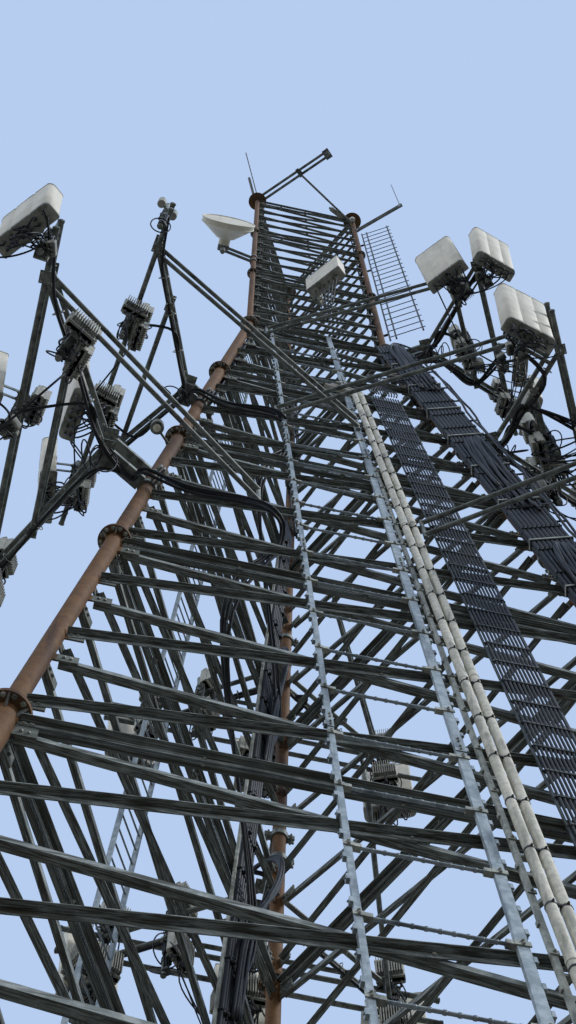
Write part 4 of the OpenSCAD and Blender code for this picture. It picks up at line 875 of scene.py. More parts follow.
# A mount's last entry is the places of its upright pipes: depth and across are shares of the
# arms' reach ahead and aside, and a place without a panel has 0
MOUNTS = tuple(Mount(*facts, [Place(*place) for place in places]) for *facts, places in (
    ("left_lower", LEFT, LOWER_H, 181, LONG, WIDE_ARMS, False, (
        (1, 1.22, 221, SHORT_PANEL, 0), (INNER, 0.62, 200, 0, 3), (1, 0.1, 190, TALL_PANEL, 1),
        (1, -1, 160, TALL_PANEL, 3))),
    ("left_upper", LEFT, UPPER_H, 188, CLOSE, WIDE_ARMS, False, (
        (1, 1.22, 221, 0, 0), (1, 0.35, 188, 0, 3), (1, -0.35, 188, TALL_PANEL, 3),
        (1, -1, 175, TALL_PANEL, 2))),
    ("right_lower", RIGHT, LOWER_H, -26, LONG, RIGHT_ARMS, False, (
        (1, -1, -30, TALL_PANEL, 2), (INNER, 0, -26, 0, 3), (1, 0, -20, TALL_PANEL, 0),
        (1, 1, 4, TALL_PANEL, 2))),
    ("right_upper", RIGHT, UPPER_H, -26, SHORT, RIGHT_ARMS, True, (
        (0.44, -1.2, -75, TALL_PANEL, 0), (INNER, 0, -26, 0, 3), (1, -0.05, -20, TALL_PANEL, 0),
        (0.5, 0.55, -20, 0, 2), (1, 1, 4, TALL_PANEL, 2))),
    ("right_top", RIGHT, TOP_H, -26, LONG, TOP_ARMS, True, (
        (0.555, -0.925, 221, TALL_PANEL, 2), (1, -0.95, -72, TALL_PANEL, 0),
        (INNER, 0, -26, 0, 3), (1, 0.3, -10, TALL_PANEL, 0), (1, 1, 4, TALL_PANEL, 2))),
    ("back_lower", BACK, LOWER_H, 90, LONG, WIDE_ARMS, False, (
        (1, 1, 110, TALL_PANEL, 3), (INNER, 0.6, 140, 0, 2), (1, 0, 90, TALL_PANEL, 3),
        (1, -1, 70, TALL_PANEL, 3))),
    ("back_upper", BACK, UPPER_H, 90, SHORT, WIDE_ARMS, False, (
        (1, 1, 110, TALL_PANEL, 2), (INNER, 0.6, 140, 0, 2), (1, 0, 90, TALL_PANEL, 3),
        (1, -1, 70, TALL_PANEL, 2))),
))


def mounts_on(leg):
    """The mounts on a leg."""
    return [mount for mount in MOUNTS if mount.leg == leg]


def places_on(leg):
    """The mounts on a leg, each with one of its places at a time."""
    return [(mount, place) for mount in mounts_on(leg) for place in mount.places]


def hinge(mount):
    """The middle of a mount's hinge plates, off its leg."""
    return leg_point(mount.leg, mount.height) + mount.stand_off * direction(LEG_BEARING[mount.leg])


def arm_axis(mount, end):
    """The direction of an arm, where end is -1 for the one clockwise and 1 for the other."""
    return direction(mount.bearing + end * mount.arms.angle)


def pipe_foot(mount, place):
    """Where the upright pipe of a place crosses the middle height of its mount."""
    length, a = mount.arms.length, math.radians(mount.arms.angle)
    return (hinge(mount) + (place.depth * length * math.cos(a) + ARM_D / 2 + MAST_D / 2 - 0.004)
            * direction(mount.bearing)
            + place.across * length * math.sin(a) * direction(mount.bearing + 90))


def u_bolts(piece, at, axis, out, r, gap=0.022, wire=0.004):
    """Two round bars bent round a pipe along axis, their legs pointing along -out, with nuts."""
    axis, out = unit(axis), unit(out)
    side = np.cross(axis, out)
    a = np.linspace(-np.pi / 2, np.pi / 2, 8)[:, None]
    arc = (r + wire) * (np.cos(a) * out + np.sin(a) * side)
    legs = (r + 0.016) * out
    path = np.concatenate([arc[:1] - legs, arc, arc[-1:] - legs])
    for s in (-1, 1):
        middle = np.asarray(at) + s * gap * axis
        piece.add(tubes(middle + path, wire))
        for end in (arc[0] - legs * 0.8, arc[-1] - legs * 0.8):
            piece.put(nut(0.0075, 0.008), middle + end, axis, -out)


def collar_bolts(plates, bolts, mount, dz):
    """Ears and bolts of the collar round the leg at a distance over the middle of a mount."""
    leg_out = direction(LEG_BEARING[mount.leg])
    leg_across = np.cross(UP, leg_out)
    r = leg_d_at(mount.height) / 2 + 0.012
    for s in (-1, 1):
        ear = leg_point(mount.leg, mount.height + dz) + s * (r + 0.016) * leg_across
        for shift in (-0.012, 0.012):
            plates.put(block((0.012, 0.046, 0.056)), ear + shift * leg_out, leg_out, UP)
        for lift in (-0.016 * UP, 0.016 * UP):
            bolts.put(bolt_head(0.007, 0.008), ear + 0.018 * leg_out + lift, UP, leg_out)
            bolts.put(nut(0.007, 0.009), ear - 0.018 * leg_out + lift, UP, -leg_out)


def mount_clamps():
    """U-bolts and clamp plates where pipes cross, pipe caps, and bolts of collars and hinges."""
    plates = Piece("mount_clamp_plates", "mount_steel")
    bolts = Piece("mount_u_bolts", "support_steel")
    hinge_bolts = np.array([[-0.028, -0.062], [0.028, -0.062], [-0.028, 0.062], [0.028, 0.062],
                            [0, 0]])
    arm_cap = lathe([(ARM_D / 2 + 0.003, -0.014), (ARM_D / 2 + 0.003, 0.002), (0.008, 0.007)], 12)
    mast_cap = lathe([(MAST_D / 2 + 0.002, -0.020), (MAST_D / 2 + 0.002, 0.001), (0.007, 0.005)],
                     12)
    for mount in MOUNTS:
        ahead, across = direction(mount.bearing), direction(mount.bearing + 90)
        h = hinge(mount)
        length, angle, *runs = mount.arms
        a = math.radians(angle)
        for dz in (-ARM_GAP / 2, ARM_GAP / 2):
            lift, off = dz * UP, np.sign(dz) * UP
            for place in mount.places:
                mast = pipe_foot(mount, place)
                outer = place.depth >= INNER or not mount.on_stubs
                back = -ahead if outer else arm_axis(mount, -1)
                plates.put(block((0.010, 0.078, 0.074)), mast + lift + back * 0.018, back, UP)
                u_bolts(bolts, mast + lift, UP, -back, MAST_D / 2)
            for s, run in zip((-1, 1), runs):
                end = h + lift + length * arm_axis(mount, s)
                plates.put(block((0.074, 0.074, 0.010)), end + 0.020 * off, ahead, UP)
                u_bolts(bolts, end, across, -off, ARM_D / 2)
                inner = h + lift + INNER * length * (math.cos(a) * ahead
                                                     + s * math.sin(a) * across)
                plates.put(block((0.060, 0.060, 0.008)), inner + 0.019 * off, ahead, UP)
                u_bolts(bolts, inner, across, -off, ARM_D / 2, 0.018)
                tip = h + lift + length * math.cos(a) * ahead \
                    + s * (length * math.sin(a) + run) * across
                plates.put(arm_cap, tip, UP, s * across)
                spots = h + lift + np.array([[0.055], [0.105]]) * arm_axis(mount, s)
                bolts.put(bolt_head(0.009, 0.009), spots - UP * (ARM_D / 2), ahead, -UP)
                bolts.put(nut(0.009, 0.009), spots + UP * (ARM_D / 2), ahead, UP)
            spots = h + lift + hinge_bolts[:, :1] * ahead + hinge_bolts[:, 1:] * across
            bolts.put(bolt_head(0.008, 0.008), spots - UP * 0.005, ahead, -UP)
            bolts.put(nut(0.008, 0.008), spots + UP * 0.005, ahead, UP)
            collar_bolts(plates, bolts, mount, dz)
        for place in mount.places:
            for s in (-1, 1):
                plates.put(mast_cap, pipe_foot(mount, place) + s * MAST_L / 2 * UP, ahead, s * UP)
    plates.make()
    bolts.make()


PANEL_W, PANEL_T, PANEL_H, SHORT_PANEL_H, PANEL_TILT = 0.370, 0.110, 1.000, 0.600, 5.0
PANEL_BRACKETS, PANEL_BRACKET_H = (0.04, 0.86), 0.044
PORT_ROWS, PORT_COLUMNS = (0.036, 0.074), np.linspace(-0.135, 0.135, 6)
PORTS = np.array([[x, y] for x in PORT_ROWS for y in PORT_COLUMNS])


def panel_outline(grow=0.0):
    """Cross-section of a panel cover: back edges with a small radius, front edges with a large one,
    and two shallow grooves along its face. Counter-clockwise seen from above."""
    def corner(x, y, r, start):
        a = np.radians(start + np.linspace(0, 90, 5))
        return np.stack([x + r * np.cos(a), y + r * np.sin(a)], -1)
    w, t = PANEL_W / 2 + grow, PANEL_T + grow
    groove = np.array([[t, -0.075], [t - 0.004, -0.070], [t - 0.004, -0.062], [t, -0.057],
                       [t, 0.057], [t - 0.004, 0.062], [t - 0.004, 0.070], [t, 0.075]])
    return np.concatenate([corner(t - 0.04, w - 0.04, 0.04, 0)[:1] * [1, 0] + [0, -w + 0.04],
                           groove, corner(t - 0.04, w - 0.04, 0.04, 0)[1:],
                           corner(0.012 - grow, w - 0.012, 0.012, 90),
                           corner(0.012 - grow, 0.012 - w, 0.012, 180),
                           corner(t - 0.04, 0.04 - w, 0.04, 270)[:-1]])


def panel_body(low, high, grow, rim):
    """A length of panel cover, from low to high, whose ends are rounded off over rim."""
    outline = panel_outline(grow)
    middle = np.array([PANEL_T / 2, 0])
    rows = [(low, 0.90), (low + rim * 0.3, 0.97), (low + rim, 1), (high - rim, 1),
            (high - rim * 0.3, 0.97), (high, 0.90)]
    return loft(np.array([
        np.concatenate([middle + (outline - middle) * share, np.full((len(outline), 1), z)], axis=1)
        for z, share in rows]))


def panel_frames(leg):
    """Every panel of a leg: its mount, place, lower back middle, and directions ahead and up."""
    t = math.radians(PANEL_TILT)
    frames = []
    for mount, place in places_on(leg):
        if place.panel:
            ahead = direction(place.bearing)
            at = pipe_foot(mount, place) + ahead * (MAST_D / 2 + 0.060) - UP * PANEL_H / 2
            frames.append((mount, place, at, ahead * math.cos(t) - UP * math.sin(t),
                           ahead * math.sin(t) + UP * math.cos(t)))
    return frames


def panel_bracket(piece, mount, place, back, x, z):
    """A plate on a panel's back, two arms and a clamp with U-bolts on the upright pipe."""
    ahead, aside = direction(place.bearing), direction(place.bearing + 90)
    mast = pipe_foot(mount, place)
    reach = np.dot(back - mast, ahead)
    mast = mast + (back[2] - mast[2]) * UP
    piece.put(block((0.010, 0.150, 0.070)), back - x * 0.005, x, z)
    piece.put(block((0.014, 0.062, 0.056)), mast + ahead * 0.024, ahead, UP)
    for s in (-1, 1):
        piece.put(block((reach - 0.02, 0.006, 0.046)),
                  mast + ahead * (reach + 0.02) / 2 + s * 0.024 * aside, ahead, UP)
    u_bolts(piece, mast, UP, -ahead, MAST_D / 2, 0.016)


def panels():
    """Panel antennas: a pale ribbed cover, grey end pieces, connectors below and two brackets."""
    port = lathe([(0.0125, 0), (0.0125, 0.008), (0.0095, 0.008), (0.0095, 0.020), (0.0115, 0.020),
                  (0.0115, 0.034), (0.006, 0.036)], 8)
    for leg, side in enumerate(LEG_NAMES):
        covers = Piece(side + "_panel_covers", "antenna_cover", smooth=True)
        ends = Piece(side + "_panel_ends", "radio_case")
        ports = Piece(side + "_panel_ports", "rod_metal")
        brackets = Piece(side + "_panel_brackets", "mount_steel")
        for mount, place, at, x, z in panel_frames(leg):
            h = SHORT_PANEL_H if place.panel == SHORT_PANEL else PANEL_H
            covers.put(panel_body(0.030, h - 0.012, 0, 0.012), at, x, z)
            ends.put(panel_body(-0.002, 0.046, 0.003, 0.006), at, x, z)
            ends.put(panel_body(h - 0.030, h, 0.002, 0.008), at, x, z)
            ends.put(block((0.012, PANEL_W * 0.86, 0.020)), at + z * 0.10 - x * 0.004, x, z)
            spots = at + PORTS[:, :1] * x + PORTS[:, 1:] * np.cross(z, x)
            ports.put(port, spots, x, -z)
            for v in PANEL_BRACKETS:
                panel_bracket(brackets, mount, place, at + z * (v * h + PANEL_BRACKET_H / 2), x, z)
        made = [covers.make(), ends.make(), ports.make(), brackets.make()]
        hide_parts(side + "_panel_antennas")


RADIO_W, RADIO_H = 0.180, 0.270
RADIO_PLACES = ((180, 1, 0.034), (180, -1, 0.034), (100, -1, 0.096))
RADIO_PORTS = np.array([[0.030, -0.06], [0.030, -0.02], [0.030, 0.02], [0.030, 0.06], [0.068, 0.0]])


def radio_frames(leg):
    """Every radio unit of a leg: its mount, place, middle of the inner face, direction outwards and
    distance from the pipe."""
    frames = []
    for mount, place in places_on(leg):
        for turn, level, stand in RADIO_PLACES[:place.radios]:
            out = direction(place.bearing + turn)
            middle = level * (ARM_GAP / 2 + ARM_D / 2 + 0.016 + RADIO_H / 2)
            frames.append((mount, place, pipe_foot(mount, place) + middle * UP
                           + out * (MAST_D / 2 + stand), out, stand))
    return frames


def radio_ports(at, out):
    """Where the connectors below a radio unit start."""
    return at + RADIO_PORTS[:, :1] * out + RADIO_PORTS[:, 1:] * np.cross(UP, out) \
        - UP * RADIO_H / 2


def radios():
    """Radio units: a case with cooling fins, a rim, connectors below, a handle and a clamp."""
    fins = np.linspace(-0.5, 0.5, 11) * (RADIO_W - 0.024)
    port = lathe([(0.011, 0), (0.011, 0.006), (0.008, 0.006), (0.008, 0.016), (0.010, 0.016),
                  (0.010, 0.030), (0.005, 0.032)], 8)
    case = (((0.052, RADIO_W, RADIO_H), (0.036, 0, 0), 0.006),
            ((0.012, RADIO_W - 0.03, RADIO_H - 0.04), (0.006, 0, 0)),
            ((0.030, RADIO_W + 0.004, 0.020), (0.046, 0, RADIO_H / 2 - 0.010)),
            ((0.040, RADIO_W + 0.004, 0.020), (0.050, 0, 0.010 - RADIO_H / 2)))
    for leg, side in enumerate(LEG_NAMES):
        cases = Piece(side + "_radio_cases", "radio_case")
        fin_piece = Piece(side + "_radio_fins", "radio_case")
        ports = Piece(side + "_radio_ports", "rod_metal")
        clamps = Piece(side + "_radio_clamps", "mount_steel")
        for _, _, at, out, stand in radio_frames(leg):
            across = np.cross(UP, out)
            for part in case:
                cases.put(block(*part), at, out, UP)
            fin_piece.put(block((0.040, 0.006, RADIO_H - 0.036), (0.080, 0, 0), 0.001),
                          at + fins[:, None] * across, out, UP)
            ports.put(port, radio_ports(at, out), out, -UP)
            grip = at + RADIO_H / 2 * UP + out * 0.045
            clamps.add(tubes(bezier(grip - across * 0.05, grip + across * 0.05, UP * 0.05,
                                    -UP * 0.05, 9), 0.004, 6))
            for dz in (0.05, -0.05):
                clamps.put(block((stand + 0.004, 0.044, 0.030), (-stand / 2, 0, dz)), at, out, UP)
            clamps.put(block((0.010, 0.090, 0.170), (-0.002, 0, 0)), at, out, UP)
            for dz in (-0.05, 0.05):
                u_bolts(clamps, at + dz * UP - out * (MAST_D / 2 + stand), UP, -out, MAST_D / 2,
                        0.010, 0.003)
        made = [cases.make(), fin_piece.make(), ports.make(), clamps.make()]
        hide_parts(side + "_radio_units")


# Black cables on the mounts

RNG = np.random.default_rng(7)
CLAMP_LEVELS = (-0.53, -0.40, -0.27, -0.06, 0.07, 0.25)
JUMPER_R, JUMPER_REACH, JUMPER_CHOICES = (0.0045, 0.0070), 0.6, 14


def pipe_clutter():
    """Dark cable clamps, splitter boxes and round filters on the upright pipes."""
    dark = Piece("pipe_cable_clamps", "cable_ladder_steel")
    boxes = Piece("pipe_splitters", "radio_case")
    grip = lathe([(0.021, -0.013), (0.0235, -0.008), (0.0235, 0.008), (0.021, 0.013)], 12)
    socket = lathe([(0.012, 0), (0.012, 0.012), (0.008, 0.012), (0.008, 0.030)], 8)
    filter_case = lathe([(0.022, 0), (0.030, 0.006), (0.030, 0.17), (0.024, 0.19),
                         (0.012, 0.195)], 14)
    for mount in MOUNTS:
        for place in mount.places:
            mast = pipe_foot(mount, place)
            for level in CLAMP_LEVELS:
                turn = direction(place.bearing + RNG.uniform(90, 270))
                at = mast + level * UP
                dark.put(block((0.034, 0.052, 0.030), (0.020, 0, 0), 0.004), at, turn, UP)
                dark.put(grip, at, turn, UP)
            if place.panel:
                for level, bearing in ((-0.46, 125), (-0.34, 235)):
                    turn = direction(place.bearing + bearing)
                    at = mast + level * UP
                    boxes.put(block((0.050, 0.080, 0.110), (0.050, 0, 0), 0.005), at, turn, UP)
                    row = np.array([[-0.024], [0.0], [0.024]]) * np.cross(UP, turn)
                    dark.put(socket, at - 0.055 * UP + turn * 0.050 + row, turn, -UP)
            elif place.radios == 0:
                for k in range(2):
                    turn = direction(place.bearing + 150 * k)
                    at = mast + (0.30 - 0.17 * k) * UP
                    boxes.put(filter_case, at + turn * 0.055, turn, UP)
                    dark.put(block((0.05, 0.02, 0.05), (0.025, 0, 0), 0.003), at + 0.08 * UP,
                             turn, UP)
    dark.make()
    boxes.make()


def panel_jumpers(leg, free):
    """Arcs from the connectors of a leg's panels to radio connectors near them, from below, or
    else to the upright pipe, as (start, end, leave, arrive)."""
    arcs = []
    for mount, place, at, x, z in panel_frames(leg):
        y = np.cross(z, x)
        mast = pipe_foot(mount, place)
        near = sorted(free.get(mount.name, []), key=lambda f: np.linalg.norm(f[0] - at))
        near = near[:JUMPER_CHOICES]
        for spot in at + PORTS[:, :1] * x + PORTS[:, 1:] * y - z * 0.034:
            goal = near[int(RNG.integers(len(near)))][0] if near else mast + UP
            reach = np.linalg.norm(goal - spot)
            if reach < JUMPER_REACH:
                leave = -UP * (0.16 + 0.45 * reach * RNG.uniform(0.5, 1.0)) \
                    + x * RNG.normal(0, 0.05)
                arrive = UP * (0.14 + 0.40 * reach * RNG.uniform(0.5, 1.0)) \
                    + y * RNG.normal(0, 0.05)
            else:
                turn = RNG.uniform(0, 2 * np.pi)
                goal = mast + 0.030 * (math.cos(turn) * x + math.sin(turn) * y) * [1, 1, 0] \
                    - UP * RNG.uniform(0.18, 0.46)
                leave = -UP * RNG.uniform(0.16, 0.50) + y * RNG.uniform(-0.16, 0.16) \
                    + x * RNG.uniform(0.0, 0.10)
                arrive = -UP * RNG.uniform(-0.35, 0.10) + x * RNG.uniform(-0.20, 0.08) \
                    + y * RNG.uniform(-0.16, 0.16)
            arcs.append((spot, goal, leave, arrive))
    return arcs


def radio_jumpers(free):
    """Arcs from four in five radio connectors to their upright pipe."""
    arcs = []
    for spots in free.values():
        for k, (spot, mast) in enumerate(spots):
            if k % 5 == 1:
                continue
            turn = RNG.uniform(0, 2 * np.pi)
            goal = mast + 0.027 * np.array([math.cos(turn), math.sin(turn), 0]) \
                + UP * RNG.uniform(-0.16, 0.10)
            away = unit((spot - mast) * [1, 1, 0])
            aside = np.cross(UP, away) * RNG.normal(0, 0.07)
            leave = -UP * RNG.uniform(0.14, 0.40) + away * RNG.uniform(-0.02, 0.16) + aside
            arrive = UP * RNG.uniform(0.02, 0.24) - away * RNG.uniform(0.02, 0.20) + aside
            arcs.append((spot, goal, leave, arrive))
    return arcs


def pipe_cables(piece, leg):
    """Cables that wind a little round the upright pipes of a leg's mounts."""
    height = np.linspace(-0.52, 0.16, 9)[:, None]
    for mount, place in places_on(leg):
        for k in range(5 if place.panel + place.radios else 2):
            turn = np.radians(place.bearing + 100 + 44 * k) + 0.35 * np.sin(9 * height + k)
            off = 0.024 + 0.007 * np.sin(14 * height + 2 * k) ** 2
            path = pipe_foot(mount, place) + height * UP \
                + off * np.hstack([np.cos(turn), np.sin(turn), 0 * turn])
            piece.add(tubes(through(path, 3), 0.0058))


def jumpers():
    """Thin black cables from every panel and radio connector, looping down and back up.

    Each is a cubic arc that leaves its connector downwards and ends in a radio's connector from
    below, or on the nearest upright pipe, along which others run.
    """
    boot = lathe([(0.007, 0), (0.0085, 0.004), (0.0085, 0.028), (0.006, 0.045)], 8)
    for leg, side in enumerate(LEG_NAMES):
        thin = Piece(side + "_jumpers", "cable_jacket", smooth=True)
        boots = Piece(side + "_cable_boots", "cable_jacket")
        free = {}
        for mount, place, at, out, _ in radio_frames(leg):
            mast = pipe_foot(mount, place)
            free.setdefault(mount.name, []).extend(
                (spot, mast) for spot in radio_ports(at, out) - UP * 0.03)
        arcs = panel_jumpers(leg, free)
        pipe_cables(thin, leg)
        arcs += radio_jumpers(free)
        starts, ends, leave, arrive = (np.array(a) for a in zip(*arcs))
        thin.add(tubes(bezier(starts, ends, leave, arrive, 15),
                       RNG.uniform(*JUMPER_R, len(starts))))
        boots.put(boot, starts, EAST, -UP)
        thin.make()
        boots.make()


def trunk_ends(mount, k):
    """Where the k-th trunk cable of a mount goes after its hinge: stations down to its long run."""
    if mount.leg == RIGHT:
        foot, across, out, up = coax_axes()
        column = (k % 5) - 2
        v = (mount.height - 0.9 - 0.05 * k) / math.cos(LEG_LEAN)
        row = foot + column * 0.03 * across + (COAX_STAND + COAX_D + COAX_PITCH + 0.012) * out
        lead = leg_point(RIGHT, mount.height - 0.12) + 0.16 * direction(-95)
        return [lead + column * 0.02 * across, row + (v + 0.42) * up, row + v * up,
                row + (v - 0.8) * up]
    run_u = 0.022 * (k % 6) - INNER_COAX_U - 0.06
    z = mount.height / math.cos(SIDE_LEAN) - (0.22 if mount.leg == LEFT else 0.30) \
        - 0.030 * (k % 5)
    w = float(half_w(z))
    if mount.leg == LEFT:
        over = TAPER_FACE + 0.020 + 0.014 * (k % 3)
        return [on_side(0, -w - 0.02, z, 0.13), on_side(0, -0.80 * w, z - 0.02, over),
                on_side(0, -0.42 * w, z - 0.05, over), on_side(0, -0.34 * w, z - 0.14, -0.12),
                on_side(2, 0.5 * w - 0.03 * k, z - 0.75, -0.30),
                on_side(2, run_u, z - 1.7, -0.125), on_side(2, run_u, z - 2.6, -0.105)]
    return [leg_point(BACK, mount.height - 0.24) + 0.14 * direction(165),
            on_side(2, -w + 0.16, z - 0.1, -0.05), on_side(2, -w + 0.26, z - 0.7, -0.12),
            on_side(2, run_u, z - 1.9, -0.125), on_side(2, run_u, z - 2.8, -0.105)]


def trunks():
    """Thicker cables from each upright pipe along the pipe across, an arm and the stand-off to the
    leg or bracing, tied every so often, as smooth paths through stations."""
    for leg, side in enumerate(LEG_NAMES):
        cables = Piece(side + "_trunk_cables", "cable_jacket", smooth=True)
        ties = Piece(side + "_trunk_cable_ties", "support_steel")
        radii = (0.0095 if leg == LEFT else 0.0125, 0.0085, 0.0105)
        for mount in mounts_on(leg):
            h = hinge(mount)
            by_leg = leg_point(leg, mount.height - ARM_GAP / 2 - 0.045) \
                + (leg_d_at(mount.height) / 2 + 0.06) * direction(LEG_BEARING[leg])
            k = 0
            for place in mount.places:
                mast = pipe_foot(mount, place)
                arm = arm_axis(mount, 1 if place.across > 0.05 else -1)
                along = float(np.dot(mast - h, arm))
                for n in range(3 if leg == RIGHT and place.panel + place.radios else 1):
                    jog = RNG.uniform(-0.012, 0.012, (6, 3))
                    lift = UP * (-ARM_GAP / 2 + (0.03 if n % 2 else -0.03))
                    beside = direction(place.bearing + 120 + 60 * n)
                    base = [mast - UP * RNG.uniform(0.30, 0.50) + 0.026 * beside,
                            mast - UP * 0.20 + 0.030 * beside,
                            h + min(along, mount.arms.length) * 0.86 * arm + lift,
                            h + along * 0.45 * arm + lift, h + 0.10 * arm + lift * 1.15, by_leg]
                    ends = [p + RNG.normal(0, 0.006, 3) for p in trunk_ends(mount, k)]
                    cables.add(tubes(through(np.concatenate([base + jog, ends])), radii[n], 6))
                    k += 1
            for s in (-1, 1):
                arm = arm_axis(mount, s)
                ring = circle(13, 0.034 * np.cross(UP, arm), 0.040 * UP) - UP * ARM_GAP / 2
                for share in (0.3, 0.55, 0.8):
                    ties.add(tubes(h + share * mount.arms.length * arm + ring, 0.0035))
        cables.make()
        ties.make()


# Cables up the straight part: leg, how many, lowest and highest point, and turn from the leg
RISERS = ((RIGHT, 6, 19.0, 29.6, 150), (LEFT, 4, 16.9, 29.4, -150), (BACK, 3, 19.0, 26.0, -150))


def leg_cables():
    """Cables that run on up the straight part, and from the ladder's cables to the right mounts."""
    piece = Piece("riser_cables", "cable_jacket", smooth=True)
    for leg, count, low, high, turn in RISERS:
        for k in range(count):
            z = np.arange(low, high - 1.1 * (k % 4), 0.6)
            bearing = LEG_BEARING[leg] + turn + 22 * (k - count / 2)
            stations = np.array([leg_point(leg, height) for height in z]) \
                + (LOWER_LEG_D / 2 + 0.012) * direction(bearing) \
                + 0.010 * np.sin(z * (2.1 + 0.3 * k))[:, None] * direction(bearing + 90)
            piece.add(tubes(through(stations, 3), 0.0075 + 0.001 * (k % 3), 7))
    run = Run(CABLE_LADDER_U, CABLE_LADDER_LEAN)
    top = SIDE_SLOPE_L - CABLE_LADDER_DROP
    n = TAPER_FACE + 0.015
    w = float(half_w(top + 0.8))
    for k, u in enumerate(LADDER_CABLES_U):
        mount, over = ((MOUNTS[4], 0.1), (MOUNTS[3], 0.9))[k % 2]
        start = run.at(u, top + 0.17, n)
        stations = [start, start + side_axes(0)[2] * 0.25,
                    on_side(0, w - 0.26 - 0.02 * k, top + 0.75, n + 0.03 + 0.008 * (k % 3)),
                    leg_point(RIGHT, top + 0.95 + 0.03 * k) + 0.12 * direction(250),
                    leg_point(RIGHT, mount.height + over) + 0.15 * direction(262 + 3 * k)]
        if k % 2 == 0:
            stations.append(hinge(mount) - UP * 0.20)
        piece.add(tubes(through(stations, 8), 0.006, 6))
    piece.make()


def loose_loops():
    """Spare loops of thin cable on the mounts' hinges and pipes: slack rings hung from a point."""
    piece = Piece("spare_loops", "cable_jacket", smooth=True)
    for mount in MOUNTS:
        points = [hinge(mount) - UP * (ARM_GAP / 2 + 0.02) + 0.05 * k * direction(mount.bearing)
                  for k in range(4)]
        points += [pipe_foot(mount, place) - UP * drop for place in mount.places
                   for drop in (0.12, 0.40)]
        for point in points:
            r = RNG.uniform(0.06, 0.13)
            aside = direction(RNG.uniform(0, 360))
            piece.add(tubes(point - r * UP + circle(
                25, r * aside * RNG.uniform(0.6, 0.9), r * (UP + 0.3 * np.cross(UP, aside))),
                0.0048))
    piece.make()


# Top of the tower and the rest

RIM_POINTS, RIM_SIDES = 48, 8
# Rings of the dish: radius, distance behind the hub and radius of the wire
DISH_RINGS = ((0.280, -0.200, 0.008), (0.281, -0.152, 0.006), (0.165, -0.068, 0.004))


def dish_fittings():
    """A rolled rim and back rings on the dish, and bolts, a box and clamps behind its hub."""
    hub = leg_point(LEFT, TAPER_H + 6.5 * STRAIGHT_BAY) + np.array([-0.345, -0.160, 0])
    rim = Piece("dish_rim", "dish_cover", smooth=True)
    out = circle(RIM_POINTS + 1, EAST, UP)[:-1]
    i, j = np.meshgrid(np.arange(RIM_POINTS), np.arange(RIM_SIDES), indexing="ij")
    ahead, beside = (i + 1) % RIM_POINTS, (j + 1) % RIM_SIDES
    quads = np.stack([i * RIM_SIDES + j, ahead * RIM_SIDES + j, ahead * RIM_SIDES + beside,
                      i * RIM_SIDES + beside], -1).reshape(-1, 4)
    for r, y, wire in DISH_RINGS:
        ring = hub + r * out + y * NORTH
        tube = ring[:, None] + wire * circle(RIM_SIDES + 1, out[:, None], NORTH)[:, :-1]
        rim.add((tube.reshape(-1, 3), quads, np.zeros((0, 3), int)))
    hardware = Piece("dish_fittings", "upper_mount_steel")
    hardware.put(bolt_head(0.007, 0.007), hub + 0.045 * out[::8] + 0.060 * NORTH, EAST, NORTH)
    behind = hub + 0.10 * NORTH
    hardware.put(block((0.12, 0.09, 0.11), (0, 0, 0), 0.01), behind + 0.13 * UP, EAST, UP)
    for dz in (-0.14, 0.14):
        u_bolts(hardware, behind + dz * UP, UP, NORTH, 0.025)
    rim.make()
    hardware.make()


BOOM_BEARING, BOOM_TIP, BOOM_STAY_AT = -46, 1.082, 0.650
SIDE_ARM_BEARING = -42


def top_fittings():
    """The boom's clamps and stay, two dark cylinders near the right leg's cap and the side arm's
    plates."""
    steel = Piece("boom_fittings", "upper_mount_steel")
    dark = Piece("top_cylinders", "radio_case")
    top = TAPER_H + STRAIGHT_H
    along = direction(BOOM_BEARING)
    across = np.cross(UP, along)
    foot = leg_point(LEFT, top + FLANGE_T) + 0.020 * UP
    end = foot + BOOM_TIP * along
    for at in (foot + 0.05 * along, foot + 0.6492 * along, end):
        for s in (-1, 1):
            u_bolts(steel, at + s * 0.030 * across, along, UP, 0.017, 0.014, 0.003)
    steel.put(block((0.090, 0.130, 0.014), (0, 0, -0.026), 0.003), end, along, UP)
    steel.put(block((0.060, 0.060, 0.050), (0, 0, -0.050), 0.006), end, along, UP)
    middle = foot + BOOM_STAY_AT * along - UP * 0.015
    stay = leg_point(RIGHT, top - 0.16) + 0.036 * direction(200)
    steel.add(tubes(np.linspace(middle, stay, 3), 0.014, 10))
    steel.put(block((0.10, 0.05, 0.05), (0, 0, 0), 0.006), stay, stay - middle, UP)
    for x in (0.0, 0.020):
        steel.put(lathe([(0.0185, -0.02), (0.0185, 0.02)], 12), middle + x * along, along,
                  stay - middle)
    for drop, away, bearing, axis, r, length in (
            (0.10, 0.10, 190, direction(205), 0.030, 0.26), (0.30, 0.07, 250, -UP, 0.034, 0.20)):
        dark.put(lathe([(r * 0.8, 0), (r, 0.01), (r, length - 0.03), (r * 0.5, length - 0.02),
                        (r * 0.4, length)], 14),
                 leg_point(RIGHT, top - drop) + away * direction(bearing), UP + 0.2 * along, axis)
    arm = direction(SIDE_ARM_BEARING)
    for x in (0.10, 0.35, 0.60):
        steel.put(block((0.020, 0.012, 0.150)), leg_point(RIGHT, top - 1.0) + (0.0285 + x) * arm,
                  arm, UP)
    dark.make()
    steel.make()


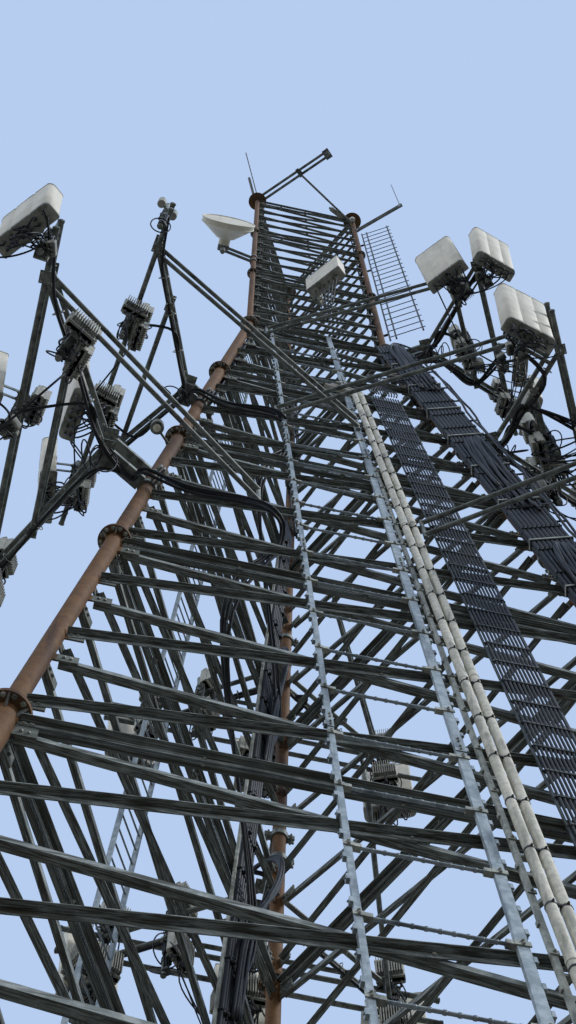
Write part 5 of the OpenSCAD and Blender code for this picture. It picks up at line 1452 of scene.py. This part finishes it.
def marker_fittings():
    """The marker light's dark housing and its pale dome."""
    at = leg_point(LEFT, 5 * SECTION - 0.380) + (MIDDLE_LEG_D / 2 + 0.120) * direction(225) \
        - UP * 0.008
    housing = Piece("marker_housing", "mount_steel")
    housing.put(lathe([(0.024, -0.004), (0.0405, -0.002), (0.0440, 0.003), (0.0440, 0.012),
                       (0.0415, 0.018), (0.0410, 0.030)], 20), at, EAST, UP)
    dome = Piece("marker_dome", "marker_lens", smooth=True)
    a = np.linspace(0, np.pi / 2, 7)[-2::-1]
    dome.put(lathe(np.stack([0.026 * np.cos(a), -0.022 * np.sin(a)], -1), 20), at, EAST, UP)
    housing.make()
    dome.make()


def small_panel_fittings():
    """End caps, connectors and clamps of the small deep panel, and looped cables below it."""
    across, _, out = side_axes(0, True)[1:]
    pipe = on_side(0, 0.065, 0.57 * SECTION, STRAIGHT_ANGLE_W + GUSSET_T / 2 + SEAT + 0.017, True)
    x, face = direction(-50), direction(-140)
    middle = pipe + x * 0.155 + face * 0.127 + UP * 0.060
    grey = Piece("small_panel_ends", "radio_case")
    grey.put(block((0.396, 0.126, 0.034), (0, 0, 0.012), 0.008), middle, x, UP)
    grey.put(block((0.396, 0.126, 0.030), (0, 0, 0.690), 0.008), middle, x, UP)
    ports = Piece("small_panel_ports", "rod_metal")
    spots = middle + np.array([[-0.13], [-0.08], [-0.03], [0.03], [0.08], [0.13]]) * x \
        - UP * 0.006
    ports.put(lathe([(0.012, 0), (0.012, 0.008), (0.009, 0.008), (0.009, 0.030),
                     (0.006, 0.032)], 8), spots, x, -UP)
    for dz in (0.15, 0.65):
        u_bolts(ports, pipe + dz * UP, UP, face, 0.017, 0.016, 0.0035)
    wires = Piece("small_panel_cables", "cable_jacket", smooth=True)
    goal = on_side(0, 0.10, 0.30 * SECTION, 0.045, True)
    wires.add(tubes(bezier(spots - UP * 0.03, goal + np.linspace(-0.03, 0.03, 6)[:, None] * across,
                           -UP * 0.30, -UP * 0.25 - out * 0.05, 15), 0.0055, 6))
    grey.make()
    ports.make()
    wires.make()


make_camera()
MATERIALS = make_materials()
dress_nodes()
make_stage()
brace_bolts()
flange_bolts()
front_ladder_fittings()
conduit_straps()
cable_ladder_clips()
trunk_fittings()
inner_run_ties()
mount_clamps()
pipe_clutter()
panels()
radios()
jumpers()
trunks()
leg_cables()
loose_loops()
dish_fittings()
top_fittings()
marker_fittings()
small_panel_fittings()
